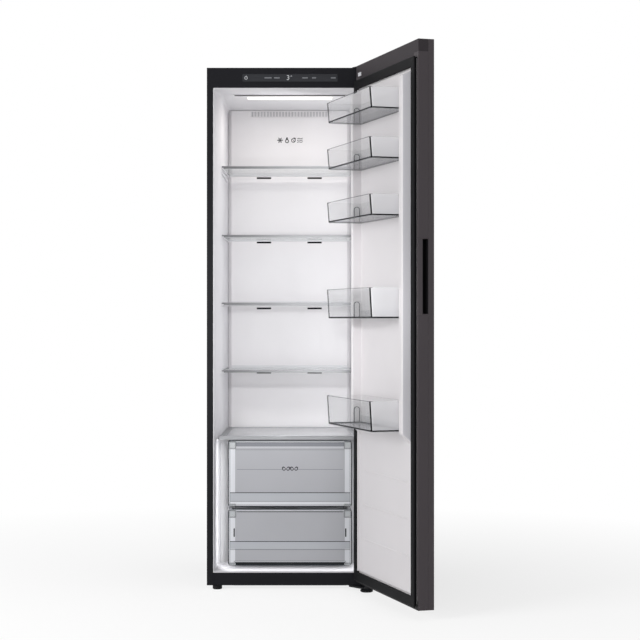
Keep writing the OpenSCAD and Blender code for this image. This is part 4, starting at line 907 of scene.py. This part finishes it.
for name, low, height, depth, bands, gap, slot_shade in DRAWERS:
    top = low + height
    back = FRONT_Y + depth
    front = block(name + "_front", (-FRONT_HALF, FRONT_Y, low), (FRONT_HALF, FRONT_Y + 0.004, top))
    for finish in FRONT:
        front.data.materials.append(finish)
    round_off(along_y, 0.010, 5)
    bpy.ops.mesh.select_all(action="SELECT")
    tint(LIGHT)
    # The recess under the lower drawer's front is tinted dark: painted shadow.
    if gap:
        for x in (-GAP_HALF, GAP_HALF):
            cut((x, 0, 0), (1, 0, 0), on_front)
        cut((0, 0, gap), (0, 0, 1), on_front)
        pick("FACE", lambda f: on_front(f) and abs(middle(f).x) < GAP_HALF and middle(f).z < gap)
        pull((0, 0.0032, 0))
        tint(DARK)
    # The outline: a dark rim, a clear strip and a dark groove round the field.
    pick("FACE", on_front)
    tint(DARK)
    bpy.ops.mesh.inset(thickness=0.0034)
    tint(LIGHT)
    bpy.ops.mesh.inset(thickness=0.0026)
    pull((0, 0.0006, 0))
    tint(DARK)
    bpy.ops.mesh.inset(thickness=0.0013)
    pull((0, -0.0006, 0))
    tint(GREY)
    pick("FACE", lambda f: on_front(f) and f.material_index == DARK and middle(f).z > top - 0.0025)
    tint(SOFT)
    for z0, z1, half, push, number in bands:
        for z in (z0, z1):
            cut((0, 0, z), (0, 0, 1), on_field)
        for x in (-half, half):
            cut((x, 0, 0), (1, 0, 0), lambda f: on_field(f) and z0 < middle(f).z < z1)
        pick("FACE", lambda f: on_field(f) and z0 < middle(f).z < z1 and abs(middle(f).x) < half)
        if push:
            pull((0, push, 0))
        tint(number)
    for x in (-SIDE_X, SIDE_X):
        cut((x, 0, 0), (1, 0, 0), on_field)
    pick("FACE", lambda f: on_field(f) and abs(middle(f).x) > SIDE_X)
    tint(LIGHT)

    tub = block("tub", (-0.211, 0.0135, low + 0.002), (0.211, back, top - 0.004))
    slide(lambda v: v.co.y > back - NEAR and v.co.z < low + 0.01, (0, -0.016, 0))
    for side in (-1, 1):
        slide(lambda v: v.co.y > back - 0.02 and v.co.x * side > 0, (-side * 0.004, 0, 0))
    take_out(upward)
    round_off(lambda e: len(e.link_faces) == 2, 0.008, 4)
    modify(tub, "SOLIDIFY", thickness=0.0026, offset=-1.0)
    slots_by(tub, [tub_grey, soft_shade_line],
             lambda c, n: 1 if n.z > 0.9 and c.z > top - 0.005 else 0)
    rims = []
    for side in (-1, 1):
        rim = block("rim", (side * 0.208, 0.013, top - 0.009),
                    (side * FRONT_HALF, back - 0.004, top - 0.005))
        round_off(lambda e: abs(middle(e).x) > FRONT_HALF - 0.0005, 0.0012, 3)
        slots_by(rim, [front_light], plain)
        rims.append(rim)
    join(front, [tub, *rims])
    front.name = name + "_tub"
    complete(front, [], name, [name])

    stops = []
    for side in (-1, 1):
        for z0, z1 in ((top - 0.030, top - 0.003), (low + 0.001, low + 0.0105)):
            stop = block("stop", (side * 0.1935, 0.0090, z0), (side * 0.2195, 0.0102, z1))
            for finish in STOP:
                stop.data.materials.append(finish)
            round_off(along_y, 0.0036, 4)
            pick("FACE", forward)
            tint(LINE)
            bpy.ops.mesh.inset(thickness=0.0011)
            tint(CLEAR)
            bpy.ops.mesh.inset(thickness=0.0018)
            tint(LINE)
            bpy.ops.transform.translate(value=(0, 0.0005, 0))
            bpy.ops.mesh.inset(thickness=0.0008)
            tint(CLEAR)
            stops.append(stop)
    join(stops[0], stops[1:])
    stops[0].name = name + "_stops"
    complete(stops[0], [], name)
    # The slots on the lower drawer show as flat matte black marks: painted shade.
    if slot_shade:
        notches = [bar("slot_shade", x - 0.0022, x + 0.0022, slot_shade[0], slot_shade[1], PRINT_Y, 0.0003)
                   for x in (-0.2000, 0.2000)]
        join(notches[0], notches[1:])
        notches[0].name = name + "_slot_shades"
        complete(notches[0], [black_abs_and_slot_shade], name)

# A plain picture of four leaves marks the drawer for vegetables.
LEAF_Z = 0.4155
leaves = []
for x, turn in ((-0.0215, 30), (-0.0070, -30), (0.0075, 30), (0.0220, -30)):
    spot = (x, PRINT_Y, LEAF_Z)
    leaf = drawn_out(ring("leaf", spot, 0.0062, 0.0021, 16), lambda v: v.co.z > LEAF_Z + 0.0040,
                     (0, 0, 0.0030))
    leaves.append(tilt(leaf, turn, spot))
join(leaves[0], leaves[1:])
leaves[0].name = "drawer_pictogram"
complete(leaves[0], [ink], "drawer_upper")

# ---------------------------------------------------------------- machine compartment
# The compressor is a welded steel shell under black enamel, on rubber mounts.
# Beside it is the black wire-and-tube condenser, and the mains inlet behind.
enamel = painted("black_enamel", "#161618", "#1c1c1f", 0.32, 2.0, 0.06, 0.5)
dress(enamel, "compressor", "condenser")
soften(0.0010, "compressor")
rubber = moulded("black_rubber", "#1a1a1b", "#202021", 0.75, 0.6, 0.1, 0.2)
dress(rubber, "compressor_mounts")
nylon = moulded("black_nylon", "#121214", "#161618", 0.55, 0.8, 0.05, 0.15)
dress(nylon, "power_inlet", "foot_left", "foot_right")
soften(0.0006, "power_inlet")

# ---------------------------------------------------------------- hinges, feet and rollers
# Pressed steel brackets with turned pins and zinc-plated screws. Adjustable
# nylon feet stand at the front, and two nylon rollers at the back.
hinge_coat = painted("black_e_coat", "#17171a", "#1b1b1e", 0.45, 1.2, 0.05, 0.15)
dress(hinge_coat, "hinge_bracket_upper", "hinge_bracket_lower")
soften(0.0006, "hinge_bracket_upper", "hinge_bracket_lower")
zinc = spangled("zinc_plate", "#aeb2b6", "#bcc0c3", 3)
dress(zinc, "hinge_pins", "hinge_screws", "roller_axles")
roller_nylon = moulded("grey_nylon", "#2a2a2d", "#313134", 0.45, 0.8, 0.05, 0.35)
dress(roller_nylon, "roller_left", "roller_right")
acetal = moulded("white_acetal", "#d9d9dc", "#e0e0e3", 0.4, 0.8, 0.03, 0.4)
dress(acetal, "hinge_bushes")

# ---------------------------------------------------------------- door shell
# A folded steel front in brown-grey paint, plastic edge profiles in the same
# colour, a darker cap at the top and a nearly black one at the foot.
door_paint = painted("brown_grey_paint", "#4b4649", "#4e494c", 0.48, 1.4, 0.05, 0.12)
dress(door_paint, "door_skin")
edge_plastic = moulded("brown_grey_abs", "#4b4649", "#4e494c", 0.48, 0.9, 0.05, 0.12)
dress(edge_plastic, "door_edge_hinge", "door_edge_handle")
cap_plastic = moulded("top_cap_abs", "#3a3639", "#3d393c", 0.55, 0.9, 0.05, 0.08)
dress(cap_plastic, "door_cap_top")
foot_cap = moulded("foot_cap_abs", "#1a191b", "#1e1d1f", 0.5, 0.9, 0.05, 0.12)
dress(foot_cap, "door_cap_bottom")
soften(0.0007, "door_skin", "door_edge_hinge", "door_edge_handle", "door_cap_top",
       "door_cap_bottom")
magnet_white = moulded("magnet_cover_abs", "#d0d0d4", "#d7d7da", 0.4, 0.8, 0.03, 0.4)
dress(magnet_white, "sensor_magnet")
soften(0.0004, "sensor_magnet")


# ---------------------------------------------------------------- grip
# The grip is moulded in two shots of ABS: a lip in the door's colour, and a
# matte black pocket for the fingers in the free edge of the door.
DOOR_OPEN = math.radians(106.8)
PIN = (0.2775, -0.053, 0)
DOOR_W = 0.595
HINGE_X, INNER_Y = 0.2975, -0.015  # the closed door's hinge edge and inner plane
FREE_X = HINGE_X - DOOR_W


def on_door(u, w, z):
    """A point of the closed door: from its hinge edge, from its inner plane, height."""
    return (HINGE_X - u, INNER_Y + w, z)


def swing(piece):
    """Turns a piece made on the closed door to where the open door holds it."""
    choose(piece)
    bpy.ops.transform.rotate(value=-DOOR_OPEN, orient_axis="Z", center_override=PIN)
    settle()


GRIP_LOW, GRIP_HIGH, POCKET_DEPTH = 0.9692, 1.2098, 0.0270
LIP_X = HINGE_X - 0.5931


def on_floor(x):
    """True for a place on the floor of the pocket."""
    return abs(x - FREE_X - POCKET_DEPTH) < 0.001


grip = block("grip_moulding", on_door(0.565, -0.0338, GRIP_LOW),
             on_door(DOOR_W, -0.0142, GRIP_HIGH))
pick("FACE", lambda f: f.normal.x < -0.9)
bpy.ops.mesh.inset(thickness=0.0016)
pull((POCKET_DEPTH, 0, 0))
slide(lambda v: on_floor(v.co.x) and v.co.y < -0.040, (0, 0.0060, 0))
round_off(lambda e: on_floor(middle(e).x) and e.calc_face_angle() > 1, 0.0030, 3)
slots_by(grip, [black_abs_and_slot_shade], plain)
lip = block("lip", on_door(0.5552, -0.0019, GRIP_LOW), on_door(DOOR_W, 0, GRIP_HIGH))
cut((LIP_X, 0, 0), (1, 0, 0))
pick("FACE", lambda f: forward(f) and middle(f).x < LIP_X)
pull((0, -0.0122, 0))
round_off(lambda e: runs(e, 2) and abs(middle(e).x - FREE_X) < NEAR
          and middle(e).y > INNER_Y - 0.001, 0.0007, 2)
slots_by(lip, [edge_plastic], plain)
join(grip, [lip])
swing(grip)
complete(grip, [], "door", ["grip_pocket"])

# ---------------------------------------------------------------- door liner
# White polystyrene, vacuum formed into a flat pan with two upright ledges. Ten
# lugs stand out of the ledges, and the bins hang on them.
BIN_Z = (0.588, 0.955, 1.287, 1.472, 1.633)
door_white = moulded("door_liner_polystyrene", "#d7d4d6", "#dcd9db", 0.42, 2.4, 0.03, 0.35)
# A greyer white on the steep outer side of the ledge by the free edge is painted shade.
ledge_shade_white = moulded("door_liner_painted_shade", "#c6c5ca", "#cbcacf", 0.45, 2.4, 0.03, 0.3)
pan = block("door_liner_pan", on_door(0.042, 0, 0.064), on_door(0.553, 0.006, 1.762))
round_off(lambda e: middle(e).y > INNER_Y + 0.0055 or along_y(e), 0.005, 4)
flange = block("flange", on_door(0.012, 0, 0.034), on_door(0.583, 0.0015, 1.791))
round_off(along_y, 0.006, 3)
parts = [flange]
# Each ledge, from the hinge edge: its foot, the two sides of its crest, and its foot.
LEDGES = ((0.045, 0.053, 0.070, 0.070), (0.520, 0.520, 0.552, 0.560))
LEDGE_RISE, LEDGE_LOW, LEDGE_HIGH = 0.040, 0.545, 1.757
STEEP_Y = -0.0075  # from here up the outer side of a ledge gets the painted shade
crest = INNER_Y + LEDGE_RISE - NEAR
for foot0, top0, top1, foot1 in LEDGES:
    ledge = block("ledge", on_door(foot0, 0, LEDGE_LOW), on_door(foot1, LEDGE_RISE, LEDGE_HIGH))
    slide(lambda v: v.co.y > crest and v.co.x > HINGE_X - foot0 - NEAR, (foot0 - top0, 0, 0))
    slide(lambda v: v.co.y > crest and v.co.x < HINGE_X - foot1 + NEAR, (foot1 - top1, 0, 0))
    slide(lambda v: v.co.y > crest and v.co.z < LEDGE_LOW + NEAR, (0, 0, 0.038))
    slide(lambda v: v.co.y > crest and v.co.z > LEDGE_HIGH - NEAR, (0, 0, -0.019))
    round_off(lambda e: middle(e).y > INNER_Y + 0.001, 0.0055, 4)
    cut((0, STEEP_Y, 0), (0, 1, 0))
    parts.append(ledge)
for z in BIN_Z:
    for u0, u1 in ((0.069, 0.0742), (0.5158, 0.521)):
        lug = block("lug", on_door(u0, 0.016, z + 0.010), on_door(u1, 0.032, z + 0.056))
        round_off(lambda e: runs(e, 0) and middle(e).z > z + 0.05, 0.0078, 6)
        parts.append(lug)
edge = block("raised_edge", on_door(0.0365, 0, 0.066), on_door(0.0430, 0.010, 1.760))
round_off(lambda e: middle(e).y > -0.0052, 0.0015, 3)
parts.append(edge)
for z in (0.180, 0.300, 0.420):
    bead = block("bead", on_door(0.082, 0.0052, z), on_door(0.513, 0.0074, z + 0.007))
    round_off(lambda e: middle(e).y > -0.0078, 0.0018, 4)
    parts.append(bead)
join(pan, parts)


def ledge_shade_side(centre, normal):
    """1 for the painted shade on the steep outer side of the ledge by the free edge, 0 elsewhere.
    """
    outer = normal.x < -0.6 and -0.263 < centre.x < -0.254
    return 1 if outer and STEEP_Y < centre.y < 0.022 else 0


slots_by(pan, [door_white, ledge_shade_white], ledge_shade_side)
swing(pan)
complete(pan, [], "door", ["door_liner"])

# ---------------------------------------------------------------- door gasket
# A soft black PVC bellows with a magnet strip in its face, pressed into the
# seam round the door liner.
gasket_pvc = moulded("black_pvc_gasket", "#0e0e10", "#121214", 0.6, 1.2, 0.05, 0.10)
# How far the gasket lies inside the door's edges, its foot and top, and its width.
SEAL_IN, SEAL_LOW, SEAL_TOP, SEAL_WIDE = 0.011, 0.033, 1.792, 0.022
SEAL_Z = (SEAL_LOW + SEAL_TOP) / 2
deselect()
bpy.ops.mesh.primitive_plane_add(size=1, location=(0, -0.0135, SEAL_Z),
                                 rotation=(math.radians(-90), 0, 0))
seal = bpy.context.object
seal.name = "door_gasket"
seal.scale = (DOOR_W - 2 * SEAL_IN, SEAL_TOP - SEAL_LOW, 1)
settle()
bpy.ops.object.mode_set(mode="EDIT")
pick("FACE", whole)
bpy.ops.mesh.inset(thickness=SEAL_WIDE)
bpy.ops.mesh.delete(type="FACE")
# The bellows in section: a foot, a fold in, the wide magnet chamber and its rounded
# face. Each step: how far it rises, and how far both sides of a run move out. The top
# and bottom runs fold in on their outer side only.
BELLOWS = ((0.0030, 0), (0.0001, -0.004), (0.0029, 0), (0.0001, 0.007), (0.0040, 0),
           (0.0014, -0.0014))
# For the two axes: the middle, and the distance that tells outer from inner sides.
RUNS = ((0, 0, HINGE_X - SEAL_WIDE), (2, SEAL_Z, 0.8605))


def topmost():
    """A height just under the highest points of the open mesh."""
    return max(v.co.y for v in bmesh.from_edit_mesh(seal.data).verts) - 1e-6


for rise, grow in BELLOWS:
    crest = topmost()
    pick("FACE", lambda f: middle(f).y > crest)
    pull((0, rise, 0))
    crest = topmost()
    for axis, centre, half in RUNS:
        for side in (-1, 1):
            for outer in (-1, 1):
                way = [0, 0, 0]
                way[axis] = side * outer * grow
                slide(lambda v: v.co.y > crest and (v.co[axis] - centre) * side > 0
                      and ((v.co[axis] - centre) * side - half) * outer > 0, way)
pick("FACE", whole)
bpy.ops.mesh.remove_doubles(threshold=0.00001)
bpy.ops.mesh.normals_make_consistent(inside=False)
swing(seal)
complete(seal, [gasket_pvc], "door", ["gasket"])

# ---------------------------------------------------------------- door bins
# Five trays of clear styrene acrylonitrile. They are injection moulded, with a
# sloping front, round corners and a channel at each end that slips over a lug.
bin_wall = clear("clear_san_wall", "#b0b3b6", "#b7babd", 0.14, 0.06, 0.3)
# The free end wall of a bin gets a near-white, denser tone: painted light.
bin_end_lit = clear("clear_san_end_painted_light", "#f0f0f4", "#f4f4f8", 0.55, 0.06, 0.25)
bin_rear = clear("clear_san_rear", "#e4e6e8", "#eaecee", 0.03, 0.06, 0.2)
bin_base = clear("clear_san_base", "#989ca1", "#9fa3a8", 0.46, 0.12, 0.25)
# The dark rims, the near-black foot band and the dark corners and channel sides of the clear bins
# are painted shade.
bin_rim_shade = clear("clear_san_rim_painted_shade", "#44474a", "#4c4f52", 0.80, 0.2, 0.15)
bin_edge_shade = clear("clear_san_edge_painted_shade", "#0d0e10", "#141517", 0.96, 0.3, 0.08)
BIN = [bin_wall, bin_base, bin_rim_shade, bin_edge_shade, bin_end_lit, bin_rear]
WALL, BASE, RIM, EDGE, END, REAR = range(6)
FOOT_HIGH, WAIST, RIM_HIGH = 0.0058, 0.0280, 0.0014  # heights where the finish changes


def tray(name, height):
    """One bin at height 0 on the closed door."""
    made = block(name, on_door(0.075, 0.0075, 0), on_door(0.515, 0.138, height))
    slide(lambda v: v.co.y > 0.1 and v.co.z < 0.001, (0, -0.006, 0))
    take_out(upward)
    round_off(lambda e: len(e.link_faces) == 2 and middle(e).y > 0.1 and not runs(e, 0), 0.011, 3)
    round_off(sharp, 0.003, 3)
    for level in (FOOT_HIGH, WAIST, height - RIM_HIGH):
        cut((0, 0, level), (0, 0, 1))
    modify(made, "SOLIDIFY", thickness=0.0022, offset=-1.0, use_even_offset=True)

    def finish_at(centre, normal):
        """The finish of a face, by its place and the way it looks."""
        if centre.z < 0.0012 or (abs(normal.z) > 0.9 and centre.z < 0.004):
            return BASE
        if centre.z > height - RIM_HIGH and (normal.z > 0.9 or centre.y > 0.11):
            return RIM
        if centre.z < FOOT_HIGH:
            return EDGE
        corner = abs(centre.x) > 0.2095 and centre.y > 0.112
        # The free-end corner gets the darker painted shade, the hinge-end corner the lighter.
        if corner and abs(normal.x) > 0.6 and abs(normal.y) > 0.6:
            return EDGE if centre.x < 0 else RIM
        if centre.y < -0.004:
            return WALL if centre.z < WAIST else REAR
        if abs(normal.x) > 0.9:
            return END if centre.x < 0 and normal.x < 0 else REAR
        return WALL

    slots_by(made, BIN, finish_at)
    channels = []
    for u0, u1 in ((0.0706, 0.0752), (0.5148, 0.5194)):
        channel = block("channel", on_door(u0, 0.0131, -0.004), on_door(u1, 0.0349, 0.0589))
        round_off(lambda e: runs(e, 0) and middle(e).z > 0.05, 0.0104, 6)
        open_through(0, 0.0023)
        pick("FACE", whole)
        bpy.ops.mesh.bisect(plane_co=(0, 0, 0.002), plane_no=(0, 0, 1), clear_inner=True,
                            use_fill=True)
        slots_by(channel, BIN, lambda c, n: RIM if abs(n.x) > 0.9 else REAR)
        channels.append(channel)
    return join(made, channels)


# The two lowest bins are deep and the others shallow.
deep, shallow = tray("bin_tall", 0.100), tray("bin_low", 0.070)
for i, z in enumerate(BIN_Z, 1):
    made = copied(deep if i <= 2 else shallow, "door_bin_%d" % i, (0, 0, z))
    swing(made)
    complete(made, [], "bin_%d" % i, ["bin_%d" % i])
for master in (deep, shallow):
    bpy.data.objects.remove(master)
